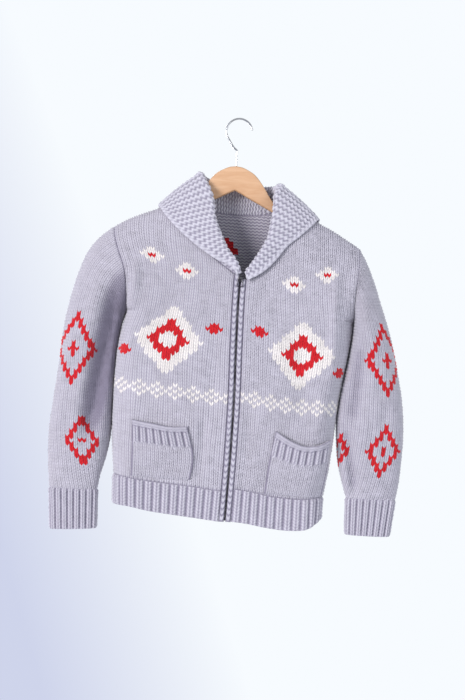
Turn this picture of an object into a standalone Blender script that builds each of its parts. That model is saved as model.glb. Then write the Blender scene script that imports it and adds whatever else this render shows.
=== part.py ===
"""Chunky zipped cardigan with a shawl collar, hung on a wooden hanger.

The garment is built from the pieces that are knitted and sewn together, each a wall of cloth.
Front and back are height fields over the outline seen from the front: the depth of the body at a
point is the product of three arches, one under the shoulder line and one inside each side edge.
Sleeves are rings swept from the armhole to the cuff. The collar is a seam, a stand, a roll and a
fall at each station round the neck. The origin is the inner top of the hook, where the hanger
rests on its rail. X is to the viewer's right, Y away from the viewer, Z up.

Tables are in millimetres and their columns are named above them.
"""

import math

import bpy
import numpy as np

MM = 0.001

# ---------------------------------------------------------------- driving sizes, millimetres
WALL = 4.0
SEAM_GAP = 0.3
HALF_GAP = SEAM_GAP / 2
STEM_X = -3.0
LEAN_OF_SHOULDER = math.radians(26.0)

SIDE_ROLL = 45.0
SHOULDER_ROLL = 126.0
UNDERARM_ROLL = 80.0
UNDERARM = {"left": -390.0, "right": -395.0}
SIGN = {"left": -1.0, "right": 1.0}
UNDERARM_NORMAL = {"left": (-0.8, 0.0, -0.6), "right": (0.8, 0.0, -0.6)}
FACING = {"front": -1.0, "back": 1.0}

BODY_ROWS = 8
ARMHOLE_ROWS = 10
ROLL_COLUMNS = 4
FLAT_COLUMNS = 6
BACK_NECK_COLUMNS = 10

BAND_REACH = 12.2
BAND_INNER = 1.7
ZIP_TOP = -316.0
NECK_END = {"left": -312.0, "right": -322.0}

RIB_HEIGHT = 2.4
RIB_STEPS = (0.0, 0.14, 0.30, 0.84)
HEM_RIBS = {"left": 12, "right": 11, "back": 25}
CUFF_RIBS = 15

POCKET_LIFT = 10.0
POCKET_RIBS = 7
POCKET_RIB_FOOT = 0.64
POCKET_BEAD_FOOT = 0.91
POCKET_BEAD = 1.6

# ---------------------------------------------------------------- tables of the outline
# Edge of the body: height z, then x. Side seam up to the underarm, armhole above it.
EDGE = {
    "left": [(-777, -218), (-718, -219), (-640, -225), (-550, -225), (-490, -223), (-440, -217),
             (-390, -206), (-365, -205), (-335, -207), (-305, -213), (-280, -223), (-252, -233),
             (-225, -239)],
    "right": [(-792, 199), (-748, 201), (-700, 209), (-640, 216), (-585, 221), (-545, 225),
              (-500, 233), (-445, 242), (-395, 246), (-365, 245.5), (-333, 246.5), (-290, 251),
              (-248, 253)],
}
# Top of the shoulders, carried across the neck: x, height z.
SHOULDER = [(-239, -225), (-218, -212.5), (-194, -201), (-163, -189), (-120, -172), (-86, -156),
            (-40, -135), (10, -122), (60, -141), (105, -165), (136, -182), (168, -200),
            (200, -216), (228, -233), (253, -248)]
# Neck seam of each front, from the zip up to the neck point: x, height z.
NECKLINE = {
    "left": [(5.4, -312), (-22, -293), (-52, -268), (-77, -236), (-84, -196), (-86, -156)],
    "right": [(29.7, -322), (58, -312), (84, -288), (100, -258), (104, -212), (105, -165)],
}
# Neck seam of the back, from the left neck point to the right one: x, height z.
BACK_NECK = [(-86, -156), (-62, -176), (-25, -186), (10, -188), (45, -187), (82, -180), (105, -165)]
# Line of the zip: height z, x.
ZIP_LINE = [(-801, 7), (-740, 10), (-650, 13.5), (-550, 15.5), (-450, 15), (-350, 16), (-312, 17.6)]
# Seam between panel and hem rib: x, height z.
HEM_SEAM = {
    "left": [(-219, -718), (-149, -727), (-66, -734), (-2, -741)],
    "right": [(22, -736), (51, -739), (100, -748), (143, -751), (201, -748)],
    "back": [(-219, -718), (-120, -727), (0, -736), (110, -745), (201, -748)],
}
# Lower edge of the hem: x, height z.
HEM_EDGE = {
    "left": [(-218, -777), (-180, -779), (-150, -785), (-100, -791), (-50, -796), (-4, -801)],
    "right": [(19, -800), (50, -803), (86, -809), (143, -813), (171, -809), (199, -792)],
    "back": [(-218, -777), (-120, -786), (0, -797), (110, -806), (199, -792)],
}
# Half depth of the body: height z, front, back.
DEPTH = [(-815, 36, 33), (-720, 40, 37), (-600, 43, 39), (-450, 44, 40), (-300, 42, 38),
         (-90, 42, 38)]
# Sleeve rings: share of the length, outer x and z, inner x and z, front depth, back depth.
SLEEVE = {
    "left": [
        (0.00, -239, -225, -206, -390, 38, 35),
        (0.06, -267, -249, -208.5, -396, 41, 40),
        (0.13, -290, -281, -211.5, -403, 44, 43),
        (0.20, -304, -318, -214.5, -413, 46, 45),
        (0.28, -315, -356, -218, -428, 47, 46),
        (0.37, -325, -402, -221.5, -450, 46, 46),
        (0.47, -332, -452, -225.3, -485, 44, 44),
        (0.58, -337, -510, -227.3, -525, 41, 40),
        (0.70, -345, -575, -228, -582, 37, 35),
        (0.80, -351, -635, -229, -638, 32, 30),
        (0.88, -351, -683, -236, -684, 26, 24),
        (0.95, -348.5, -725, -247, -725, 20, 18),
        (1.00, -346, -752, -251, -752, 15, 14),
    ],
    "right": [
        (0.00, 253, -248, 246, -395, 38, 35),
        (0.07, 271, -283, 248.4, -401, 42, 40),
        (0.14, 286, -319, 248.2, -409, 46, 45),
        (0.22, 300, -361, 247.3, -423, 49, 48),
        (0.30, 314, -401, 245.2, -440, 50, 50),
        (0.40, 328.6, -450, 240.8, -472, 49, 49),
        (0.51, 341, -504, 233.2, -513, 46, 45),
        (0.62, 350, -550, 226.5, -556, 41, 40),
        (0.71, 355, -595, 223, -598, 37, 35),
        (0.80, 356, -640, 225, -641, 32, 31),
        (0.87, 354, -680, 229.5, -680, 28, 26),
        (0.94, 351, -716, 239, -717, 21, 20),
        (1.00, 346, -748, 248, -748, 15, 14),
    ],
}
SLEEVE_RINGS = 17
SLEEVE_BLEND = 0.30
SLEEVE_SQUARENESS = 0.82
# Lower edge of each cuff: outer x and z, inner x and z, front depth, back depth.
CUFF_EDGE = {
    "left": (-341, -835, -250, -830, 13, 12),
    "right": (337, -822, 249.5, -821, 13, 12),
}
# Collar stations: place round the neck (0 to 1 left front, 1 to 2 back, 2 to 3 right front),
# roll axis x, y, z, roll radius, outer edge x, z, bearing of the roll's outer side in degrees
# (0 forward, 90 left, 180 back, 270 right) and lift of the edge off the body.
COLLAR = [
    (0.000, 15, -46.5, -311.5, 2.9, 11, -316, 0, 5.0),
    (0.160, 4.5, -50, -290, 4.2, -2, -297.5, 0, 5.5),
    (0.360, -14, -51, -268, 5.0, -34, -284, 0, 4.0),
    (0.575, -32.5, -50, -233, 5.5, -82, -251, 0, 0.5),
    (0.785, -45, -43, -197, 5.5, -121, -217, 5, 0),
    (0.900, -49, -31, -168, 5.5, -138, -199, 18, 0),
    (0.955, -57, -22, -146, 6.0, -144.5, -191, 45, 0),
    (1.000, -71, -3, -121, 7.0, -149.5, -184.5, 88, 0),
    (1.080, -67, 16, -122, 7.0, -144, -202, 125, 0),
    (1.250, -48, 33, -128, 7.0, -112, -226, 155, 0),
    (1.500, 10, 45, -134, 7.0, 10, -240, 180, 0),
    (1.750, 66, 33, -137, 7.0, 130, -238, 205, 0),
    (1.920, 85, 16, -136, 7.0, 161, -218, 235, 0),
    (2.000, 90, -3, -136, 7.0, 167.5, -199, 272, 0),
    (2.045, 85, -18, -152, 6.5, 161, -204, 315, 0),
    (2.110, 84, -29, -173, 6.0, 152, -213, 342, 0),
    (2.240, 80, -41, -208, 5.5, 133, -231, 355, 0),
    (2.480, 72, -48, -246, 5.5, 92, -261, 360, 2.5),
    (2.650, 59, -52, -271, 5.5, 67, -277, 360, 6.0),
    (2.830, 43, -51, -294, 4.5, 48, -299, 360, 7.0),
    (3.000, 27.5, -48, -313, 2.9, 31, -318.5, 360, 6.0),
]
STAND_STEPS = 3
ROLL_STEPS = 4
FALL_STEPS = 5
FALL_BOW = 4.0
# Pockets: left side x at foot, middle and top; right side likewise; top edge rows x, z.
POCKET = {
    "left": {"inner": [(-64, -720), (-59, -680), (-73, -616)],
             "outer": [(-181, -717), (-181, -660), (-183, -606)],
             "mouth": [(-183, -606), (-143, -612), (-108, -617), (-73, -616)]},
    "right": {"inner": [(82, -741), (89, -680), (100, -617)],
              "outer": [(194, -744), (203, -690), (207, -631)],
              "mouth": [(207, -631), (178, -643), (157, -644), (130, -635), (100, -617)]},
}
# Largest folds: piece, face, x and z of one end, x and z of the other, half width, height
# (raised when positive, sunk when negative).
FOLDS = [
    ("left_sleeve", "front", -229, -322, -266, -640, 19, -24),
    ("left_sleeve", "front", -300, -470, -318, -660, 16, -4),
    ("left_sleeve", "back", -240, -345, -290, -620, 20, -17),
    ("right_sleeve", "front", 262, -440, 250, -600, 15, -9),
    ("right_sleeve", "front", 236, -605, 264, -738, 11, -10),
    ("right_sleeve", "front", 315, -560, 322, -700, 15, -4),
    ("right_sleeve", "back", 290, -345, 262, -620, 18, -15),
    ("body", "front", -42, -600, -46, -716, 11, -4),
    ("body", "front", -188, -300, -196, -470, 10, 4),
    ("body", "front", 205, -300, 208, -520, 11, 4),
    ("body", "front", 130, -430, 160, -600, 22, -5),
    ("body", "back", -130, -330, -150, -640, 20, -6),
    ("body", "back", 120, -380, 150, -660, 20, -6),
    ("body", "back", 15, -420, 5, -680, 26, 5),
]
# Hanger wood: distance from the stem, top z, bottom z, half thickness.
WOOD = [(0, -94, -143, 6.0), (12, -95.5, -149, 6.0), (24, -100.5, -155.5, 6.0),
        (38, -109, -162.5, 6.0), (50, -122, -168.5, 6.0), (60, -136, -173.5, 6.0),
        (68, -148, -177.5, 6.0), (78, -161, -183, 6.0), (90, -169, -190, 6.0),
        (120, -183, -205, 6.0), (168, -205.5, -226, 5.6), (192, -217.5, -236, 5.2),
        (202, -223.5, -239.5, 4.6), (206, -228, -237, 3.2)]
WOOD_TILT = math.radians(1.0)
HOOK_RADIUS = 1.8
HOOK_LOOP = 26.0
HOOK_OPEN = math.radians(8.0)
HOOK_TURN = math.radians(222.0)
HOOK_ELBOW_Z = -63.0

# Zip: half width and depth of the chain, tapes behind it; slider and pull.
CHAIN_HALF = 1.35
CHAIN_RECESS = 0.8
TAPE_HALF = 11.5
TAPE = 1.0
SLIDER_TOP = -317.5
SLIDER_LENGTH = 11.0
SLIDER_HALF = 4.6
SLIDER_PLATE = 1.8
PULL_WIRE = 0.8
PULL_HALF = 5.6
PULL_LENGTH = 16.5
BAIL_REACH = 4.2
BAIL_HALF = 0.8

YARN = (0.50, 0.48, 0.56, 1.0)
COLLAR_YARN = (0.62, 0.60, 0.67, 1.0)
WOOD_COLOUR = (0.78, 0.46, 0.22, 1.0)
METAL = (0.62, 0.63, 0.66, 1.0)
DARK_METAL = (0.16, 0.15, 0.17, 1.0)


# ---------------------------------------------------------------- small helpers
def smooth(rows, at):
    """Cubic through the rows of a table keyed by its first column; a row's slope is its neighbours'."""
    rows = np.asarray(rows, float)
    keys, values = rows[:, 0], rows[:, 1:]
    at = np.asarray(at, float)
    slopes = np.gradient(values, keys, axis=0)
    i = np.clip(np.searchsorted(keys, at) - 1, 0, len(keys) - 2)
    step = keys[i + 1] - keys[i]
    f = np.clip((at - keys[i]) / step, 0.0, 1.0)[..., None]
    step = step[..., None]
    out = ((2 * f**3 - 3 * f**2 + 1) * values[i] + (f**3 - 2 * f**2 + f) * step * slopes[i]
           + (3 * f**2 - 2 * f**3) * values[i + 1] + (f**3 - f**2) * step * slopes[i + 1])
    return out[..., 0] if values.shape[1] == 1 else out


def along(points, shares):
    """Points at the given shares of the length of the smooth curve through the listed points."""
    points = np.asarray(points, float)
    steps = np.linalg.norm(np.diff(points, axis=0), axis=1)
    keys = np.concatenate([[0], np.cumsum(steps)])
    return smooth(np.column_stack([keys, points]), np.asarray(shares) * keys[-1])


def length_shares(line):
    """Share of a line's length at each of its points."""
    steps = np.linalg.norm(np.diff(line, axis=0), axis=1)
    return np.concatenate([[0], np.cumsum(steps)]) / steps.sum()


def stretch(line, shares):
    """Points at shares of the length of a line of straight pieces."""
    keys = length_shares(line[:, :3])
    return np.column_stack([np.interp(shares, keys, line[:, k]) for k in range(line.shape[1])])


def arch(share):
    """Quarter of a circle: 0 at 0, upright there, and 1 from 1 on."""
    return np.sqrt(1 - (1 - np.clip(share, 0, 1)) ** 2)


def ease(share):
    share = np.clip(share, 0, 1)
    return share * share * (3 - 2 * share)


def unit(vectors):
    return vectors / np.maximum(np.linalg.norm(vectors, axis=-1, keepdims=True), 1e-9)


def edge_x(side, z):
    return smooth(EDGE[side], z)


def shoulder_z(x):
    return smooth(SHOULDER, x)


def zip_x(z):
    return smooth(ZIP_LINE, z)


def side_factor(side, x, z):
    """Share of the full depth that the side edge leaves: an arch below the underarm, 1 above it."""
    opened = arch((z - UNDERARM[side]) / UNDERARM_ROLL)
    inside = SIGN[side] * (edge_x(side, z) - x)
    return opened + (1 - opened) * arch(inside / SIDE_ROLL)


def fold_height(piece, face, x, z):
    """Sum of the soft ridges and troughs that lie on one face of a piece."""
    total = np.zeros_like(x)
    for name, side, x0, z0, x1, z1, width, height in FOLDS:
        if (name, side) != (piece, face):
            continue
        run = np.array([x1 - x0, z1 - z0], float)
        share = ((x - x0) * run[0] + (z - z0) * run[1]) / (run @ run)
        away = ((x - x0) * run[1] - (z - z0) * run[0]) / np.linalg.norm(run)
        fade = ease((share + 0.12) / 0.3) * ease((1.12 - share) / 0.3)
        total += height * fade * np.exp(-(away / width) ** 2)
    return total


def body_y(x, z, face):
    """Depth of the outer surface of front or back at a point of the outline."""
    depths = smooth(DEPTH, z)
    full = depths[..., 0] if face == "front" else depths[..., 1]
    drop = (shoulder_z(x) - z) * math.cos(LEAN_OF_SHOULDER)
    shape = arch(drop / SHOULDER_ROLL) * side_factor("left", x, z) * side_factor("right", x, z)
    return FACING[face] * shape * (full + fold_height("body", face, x, z))


def patch(bottom, top, left, right):
    """Coons patch: the blend of left and right plus that of bottom and top, less the corners'."""
    s = ((length_shares(bottom) + length_shares(top)) / 2)[None, :, None]
    t = ((length_shares(left) + length_shares(right)) / 2)[:, None, None]
    across = (1 - s) * left[:, None] + s * right[:, None]
    upward = (1 - t) * bottom[None] + t * top[None]
    corners = ((1 - s) * (1 - t) * bottom[0] + s * (1 - t) * bottom[-1]
               + (1 - s) * t * top[0] + s * t * top[-1])
    return across + upward - corners


def grid_normals(grid, closed=False):
    """Unit normals of a grid of points from its rows and columns, columns running round if closed."""
    if closed:
        across = np.roll(grid, -1, axis=1) - np.roll(grid, 1, axis=1)
    else:
        across = np.gradient(grid, axis=1)
    return unit(np.cross(across, np.gradient(grid, axis=0)))


# ---------------------------------------------------------------- meshes
MATERIALS = {}


def finish(name, colour, rough, metal):
    if name not in MATERIALS:
        material = bpy.data.materials.new(name)
        material.use_nodes = True
        shader = material.node_tree.nodes["Principled BSDF"]
        shader.inputs["Base Color"].default_value = colour
        shader.inputs["Roughness"].default_value = rough
        shader.inputs["Metallic"].default_value = metal
        MATERIALS[name] = material
    return MATERIALS[name]


def solid(name, points, faces, material, origin=(0.0, 0.0, 0.0), soft=False):
    """One closed body from millimetre points; it is turned right side out by its volume."""
    points = (np.asarray(points, float) + [STEM_X, 0, 0] - np.asarray(origin)) * MM
    mesh = bpy.data.meshes.new(name)
    mesh.from_pydata(points.tolist(), [], [tuple(int(i) for i in face) for face in faces])
    mesh.update()
    mesh.calc_loop_triangles()
    corners = np.array([t.vertices[:] for t in mesh.loop_triangles])
    a, b, c = points[corners[:, 0]], points[corners[:, 1]], points[corners[:, 2]]
    if np.einsum("ij,ij->i", a, np.cross(b, c)).sum() < 0:
        mesh.flip_normals()
    if soft:
        mesh.shade_smooth()
        mesh.set_sharp_from_angle(angle=math.radians(35))
    mesh.materials.append(material)
    part = bpy.data.objects.new(name, mesh)
    part.location = np.asarray(origin) * MM
    bpy.context.collection.objects.link(part)
    return part


def halved(quads, points):
    """Triangles of four-cornered faces, each cut along its shorter diagonal."""
    a, b, c, d = quads.T
    first = np.linalg.norm(points[a] - points[c], axis=1)
    second = np.linalg.norm(points[b] - points[d], axis=1)
    along_first = (first <= second)[:, None]
    one = np.where(along_first, quads[:, [0, 1, 2]], quads[:, [0, 1, 3]])
    two = np.where(along_first, quads[:, [0, 2, 3]], quads[:, [1, 2, 3]])
    return np.concatenate([one, two])


def shell(name, outer, inner, material, closed=False):
    """Wall between two grids of points, closed by strips round its open edges."""
    rows, columns = outer.shape[:2]
    count = rows * columns
    index = np.arange(count).reshape(rows, columns)
    if closed:
        index = np.column_stack([index, index[:, 0]])
    points = np.concatenate([outer.reshape(-1, 3), inner.reshape(-1, 3)])
    quads = np.stack([index[:-1, :-1], index[:-1, 1:], index[1:, 1:], index[1:, :-1]], axis=-1)
    face = halved(quads.reshape(-1, 4), points)
    rims = [index[0][::-1], index[-1]]
    if not closed:
        rims += [index[:, 0], index[::-1, -1]]
    rim = np.concatenate([np.stack([r[:-1], r[1:], r[1:] + count, r[:-1] + count], axis=-1)
                          for r in rims])
    faces = np.concatenate([face, face[:, ::-1] + count, halved(rim, points)])
    return solid(name, points, faces, material)


def sweep(sections, ring=False):
    """Points and faces of a row of equal closed loops, capped at both ends unless it is a ring."""
    count, size = sections.shape[:2]
    index = np.arange(count * size).reshape(count, size)
    loops = np.concatenate([index, index[:1]]) if ring else index
    faces = []
    for near, far in zip(loops[:-1], loops[1:]):
        for k in range(size):
            faces.append((near[k], near[(k + 1) % size], far[(k + 1) % size], far[k]))
    if not ring:
        faces.append(tuple(index[0][::-1]))
        faces.append(tuple(index[-1]))
    return sections.reshape(-1, 3), faces


# ---------------------------------------------------------------- seams
def column_shares():
    """Shares of a front's width: close together where the side rolls away, even across the front."""
    roll = 0.2 * (1 - np.cos(np.linspace(0, math.pi / 2, ROLL_COLUMNS + 1)))
    return np.concatenate([roll, np.linspace(roll[-1], 1, FLAT_COLUMNS + 1)[1:]])


def armhole_levels(side):
    """Heights of the armhole's points, closer together at the underarm and at the shoulder."""
    tip = EDGE[side][-1][0]
    turn = np.linspace(0, math.pi, ARMHOLE_ROWS + 1)
    return UNDERARM[side] + (tip - UNDERARM[side]) * (1 - np.cos(turn)) / 2


def armhole_loop(side):
    """Armhole as a closed loop from the underarm up the front and down the back, with its normals
    and the direction in which the cloth crosses the seam towards the sleeve."""
    z = armhole_levels(side)
    x = edge_x(side, z)
    front = np.column_stack([x, body_y(x, z, "front"), z])
    back = np.column_stack([x, body_y(x, z, "back"), z])
    loop = np.concatenate([front, back[-2:0:-1]])
    rise = np.concatenate([np.linspace(0, 1, ARMHOLE_ROWS + 1),
                           np.linspace(1, 0, ARMHOLE_ROWS + 1)[1:-1]])
    slope = LEAN_OF_SHOULDER * ease((rise - 0.45) / 0.55)
    cross = np.column_stack([SIGN[side] * np.cos(slope), 0 * slope, -np.sin(slope)])
    tangent = np.roll(loop, -1, axis=0) - np.roll(loop, 1, axis=0)
    normal = unit(np.cross(tangent, cross)) * -SIGN[side]
    return loop, normal, unit(cross)


def neck_shares():
    """Shares of a front's neckline, closer together towards the shoulder."""
    return 1 - (1 - np.linspace(0, 1, ARMHOLE_ROWS + 1)) ** 1.5


def back_neck_shares():
    """Shares of the back's neckline, closer together towards both shoulders."""
    return (1 - np.cos(np.linspace(0, math.pi, BACK_NECK_COLUMNS + 1))) / 2


def seam_frame(line, normals, towards):
    """Direction across a seam, square to it and to the surface's normal, on the named side."""
    across = unit(np.cross(normals, np.gradient(line, axis=0)))
    flip = np.sign(np.einsum("ij,ij->i", across, towards))
    return across * np.where(flip == 0, 1, flip)[:, None]


def upright_normals(line, sign):
    """Normals in the x-z plane, square to a line of that plane, pointing to the named side of x."""
    tangent = np.gradient(line, axis=0)
    normal = unit(np.column_stack([tangent[:, 2], 0 * tangent[:, 1], -tangent[:, 0]]))
    return normal * np.sign(normal[:, :1] * sign + 1e-9)


def raised_normals(line):
    """Normals in the x-z plane, square to a line of that plane, pointing up."""
    tangent = np.gradient(line, axis=0)
    normal = unit(np.column_stack([-tangent[:, 2], 0 * tangent[:, 1], tangent[:, 0]]))
    return normal * np.sign(normal[:, 2:])


# ---------------------------------------------------------------- panels
def side_line(side, foot):
    """Side seam and armhole, bottom to top, as x, z."""
    below = 1 - (1 - np.linspace(0, 1, BODY_ROWS + 1)[:-1]) ** 1.4
    levels = np.concatenate([foot + (UNDERARM[side] - foot) * below, armhole_levels(side)])
    return np.column_stack([edge_x(side, levels), levels])


def shoulder_line(side):
    """Shoulder seam from tip to neck point, as x, z."""
    tip, neck = EDGE[side][-1][1], NECKLINE[side][-1][0]
    x = tip + (neck - tip) * column_shares()
    return np.column_stack([x, shoulder_z(x)])


def front_panel(side):
    """Points, normals and seam shifts of one front, rows upward, columns from side to zip."""
    sign = SIGN[side]
    seam = HEM_SEAM[side]
    foot_side = seam[0] if side == "left" else seam[-1]
    edge = side_line(side, foot_side[1])
    reach = -sign * BAND_REACH if side == "right" else BAND_REACH
    centre_z = np.linspace(smooth(seam, seam[-1][0] if side == "left" else seam[0][0]),
                           NECK_END[side], BODY_ROWS + 1)
    centre = np.column_stack([zip_x(centre_z) - reach, centre_z])
    neck = along(NECKLINE[side], neck_shares())
    neck[0] = centre[-1]
    middle = np.concatenate([centre, neck[1:]])
    x = edge[0, 0] + (centre[0, 0] - edge[0, 0]) * column_shares()
    hem = np.column_stack([x, smooth(seam, x)])
    hem[0], hem[-1] = edge[0], centre[0]
    top = shoulder_line(side)
    top[-1] = middle[-1]
    flat = patch(hem, top, edge, middle)
    grid = np.dstack([flat[..., 0], body_y(flat[..., 0], flat[..., 1], "front"), flat[..., 1]])
    grid[-1, :, 1] = 0
    grid[:BODY_ROWS + 1, 0, 1] = 0
    normals = grid_normals(grid)
    normals *= np.sign(-normals[..., 1:2].mean())
    loop, loop_normals, cross = armhole_loop(side)
    shift = np.zeros_like(grid)
    normals[:BODY_ROWS, 0] = upright_normals(grid[:BODY_ROWS + 1, 0], sign)[:-1]
    normals[BODY_ROWS:, 0] = loop_normals[:ARMHOLE_ROWS + 1]
    normals[BODY_ROWS, 0] = UNDERARM_NORMAL[side]
    normals[-1] = raised_normals(grid[-1])
    shift[:BODY_ROWS + 1, 0, 1] -= HALF_GAP
    shift[BODY_ROWS:, 0] -= HALF_GAP * cross[:ARMHOLE_ROWS + 1]
    shift[-1, :, 1] -= HALF_GAP
    shift[0, :, 2] += HALF_GAP
    neck_rows = slice(BODY_ROWS, None)
    inward = grid[neck_rows, -2] - grid[neck_rows, -1]
    across = seam_frame(grid[neck_rows, -1], normals[neck_rows, -1], -inward)
    shift[neck_rows, -1] -= HALF_GAP * across
    return grid, normals, shift, across


def back_panel():
    """Points, normals and seam shifts of the back, rows upward, columns from left to right."""
    edges = {side: side_line(side, HEM_SEAM["back"][0 if side == "left" else -1][1])
             for side in ("left", "right")}
    left_top, right_top = shoulder_line("left"), shoulder_line("right")[::-1]
    neck = along(BACK_NECK, back_neck_shares())
    neck[0], neck[-1] = left_top[-1], right_top[0]
    top = np.concatenate([left_top, neck[1:-1], right_top])
    shares = column_shares()
    half = len(shares)
    ends = edges["left"][0, 0], edges["right"][0, 0]
    middle = -70 + 160 * back_neck_shares()
    x = np.concatenate([ends[0] + (middle[0] - ends[0]) * shares, middle[1:-1],
                        (ends[1] + (middle[-1] - ends[1]) * shares)[::-1]])
    hem = np.column_stack([x, smooth(HEM_SEAM["back"], x)])
    hem[0], hem[-1] = edges["left"][0], edges["right"][0]
    flat = patch(hem, top, edges["left"], edges["right"])
    grid = np.dstack([flat[..., 0], body_y(flat[..., 0], flat[..., 1], "back"), flat[..., 1]])
    neck_columns = slice(half - 1, half + BACK_NECK_COLUMNS)
    grid[-1, :half, 1] = 0
    grid[-1, -half:, 1] = 0
    grid[:BODY_ROWS + 1, [0, -1], 1] = 0
    normals = grid_normals(grid)
    normals *= np.sign(normals[..., 1:2].mean())
    shift = np.zeros_like(grid)
    for side, column in (("left", 0), ("right", -1)):
        loop, loop_normals, cross = armhole_loop(side)
        back = np.r_[0, np.arange(len(loop) - 1, ARMHOLE_ROWS - 1, -1)]
        line = grid[:BODY_ROWS + 1, column]
        normals[:BODY_ROWS, column] = upright_normals(line, SIGN[side])[:-1]
        normals[BODY_ROWS:, column] = loop_normals[back]
        normals[BODY_ROWS, column] = UNDERARM_NORMAL[side]
        shift[:BODY_ROWS + 1, column, 1] += HALF_GAP
        shift[BODY_ROWS:, column] -= HALF_GAP * cross[back]
    neck_normals = normals[-1, neck_columns].copy()
    normals[-1, :half] = raised_normals(grid[-1, :half])
    normals[-1, -half:] = raised_normals(grid[-1, -half:])
    shift[-1, :half, 1] += HALF_GAP
    shift[-1, -half:, 1] += HALF_GAP
    neck_normals[0], neck_normals[-1] = normals[-1, half - 1], normals[-1, -half]
    inward = grid[-2, neck_columns] - grid[-1, neck_columns]
    across = seam_frame(grid[-1, neck_columns], neck_normals, -inward)
    shift[-1, neck_columns] -= HALF_GAP * across
    shift[0, :, 2] += HALF_GAP
    return grid, normals, shift, across


def build_panel(name, panel, material):
    grid, normals, shift, _ = panel
    shell(name, grid + shift, grid + shift - WALL * normals, material)


# ---------------------------------------------------------------- sleeves and cuffs
def ring_points(row, turns):
    """Ring of a sleeve: a squared ellipse between its inner and outer points."""
    ox, oz, ix, iz, front, back = row
    swing = np.cos(turns)
    lift = np.sin(turns)
    share = (1 - np.sign(swing) * np.abs(swing) ** SLEEVE_SQUARENESS) / 2
    depth = np.where(lift > 0, front, back)
    y = -np.sign(lift) * depth * np.abs(lift) ** SLEEVE_SQUARENESS
    return np.column_stack([ix + (ox - ix) * share, y, iz + (oz - iz) * share])


def sleeve_grid(side):
    """Rings of the sleeve from armhole to cuff; the first is the armhole itself."""
    loop, loop_normals, cross = armhole_loop(side)
    turns = np.linspace(0, 2 * math.pi, len(loop) + 1)[:-1]
    stations = np.linspace(0, 1, SLEEVE_RINGS + 1)
    table = smooth(SLEEVE[side], stations)
    grid = np.array([ring_points(row, turns) for row in table])
    remain = (1 - ease(stations / SLEEVE_BLEND))[:, None, None]
    grid += remain * (loop - grid[0])
    on_front = np.arange(len(loop)) <= ARMHOLE_ROWS
    for face, chosen in (("front", on_front), ("back", ~on_front)):
        push = fold_height(side + "_sleeve", face, grid[..., 0], grid[..., 2])
        push = push * np.abs(np.sin(turns)) * (1 - remain[..., 0])
        grid[..., 1] += np.where(chosen, FACING[face] * push, 0)
    normals = grid_normals(grid, closed=True)
    centre = grid.mean(axis=1, keepdims=True)
    normals *= np.sign(np.einsum("ijk,ijk->ij", normals, grid - centre).mean())
    normals[0] = loop_normals
    normals[0, 0] = np.array(UNDERARM_NORMAL[side]) * [-1, 1, 1]
    shift = np.zeros_like(grid)
    shift[0] = HALF_GAP * cross
    shift[-1, :, 2] += HALF_GAP
    return grid, normals, shift


def rib_heights(count):
    """Shares of a band's length where its ribs turn, and whether each point is on a rib."""
    steps = np.asarray(RIB_STEPS)
    shares = (np.arange(count)[:, None] + steps[None]).ravel() / count
    raised = np.tile(steps >= RIB_STEPS[2], count)
    return shares, raised


def build_cuff(side, sleeve, material):
    """Ribbed tube from the sleeve's last ring to the cuff's edge."""
    grid, normals, _ = sleeve
    shares, raised = rib_heights(CUFF_RIBS)
    ring = np.concatenate([grid[-1], grid[-1][:1]])
    ring_normals = np.concatenate([normals[-1], normals[-1][:1]])
    top = stretch(ring, shares)
    keys = np.linspace(0, 1, len(ring))
    place = np.concatenate([[0], np.cumsum(np.linalg.norm(np.diff(ring, axis=0), axis=1))])
    turns = np.interp(shares, place / place[-1], keys) * 2 * math.pi
    outward = unit(stretch(np.hstack([ring, ring_normals]), shares)[:, 3:])
    foot = ring_points(CUFF_EDGE[side], turns)
    rows = []
    for share in (0.0, 1.0):
        rows.append(top + (foot - top) * share)
    base = np.array(rows)
    outward = np.array([outward, outward])
    base[0, :, 2] -= HALF_GAP
    outer = base + outward * (RIB_HEIGHT * raised)[None, :, None]
    shell(side + "_cuff", outer, base - WALL * outward, material, closed=True)


# ---------------------------------------------------------------- hem
def hem_section(name, face, x0, x1, edge_rows, shares):
    """Points of the hem's lower edge at shares of its length between two x."""
    fine = x0 + (x1 - x0) * (1 - np.cos(np.linspace(0, math.pi, 161))) / 2
    z = smooth(edge_rows, fine)
    line = np.column_stack([fine, body_y(fine, z, face), z])
    return stretch(line, shares)


def build_hem(name, panel, face, ends, material):
    """Ribbed band under a panel; its top follows the panel's lowest row."""
    grid, normals, _ = panel[:3]
    shares, raised = rib_heights(HEM_RIBS[name])
    shares = np.append(shares, 1.0)
    raised = np.append(raised, False)
    line = np.hstack([grid[0], normals[0]])
    place = np.linalg.norm(np.diff(grid[0], axis=0), axis=1)
    keys = np.concatenate([[0], np.cumsum(place)]) / place.sum()
    top = np.column_stack([np.interp(shares, keys, line[:, k]) for k in range(6)])
    foot = hem_section(name, face, ends[0], ends[1], HEM_EDGE[name], shares)
    for k, end in ((0, ends[0]), (-1, ends[1])):
        foot[k, 0] = end
    outward = unit(top[:, 3:])
    base = np.array([top[:, :3], foot])
    base[0, :, 2] -= HALF_GAP
    for k in (0, -1):
        if abs(grid[0, k, 1]) < 1e-6:
            base[:, k, 1] = FACING[face] * HALF_GAP
    outward = np.array([outward, outward])
    outer = base + outward * (RIB_HEIGHT * raised)[None, :, None]
    shell(name + "_hem", outer, base - WALL * outward, material)
    return base, outward


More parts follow.
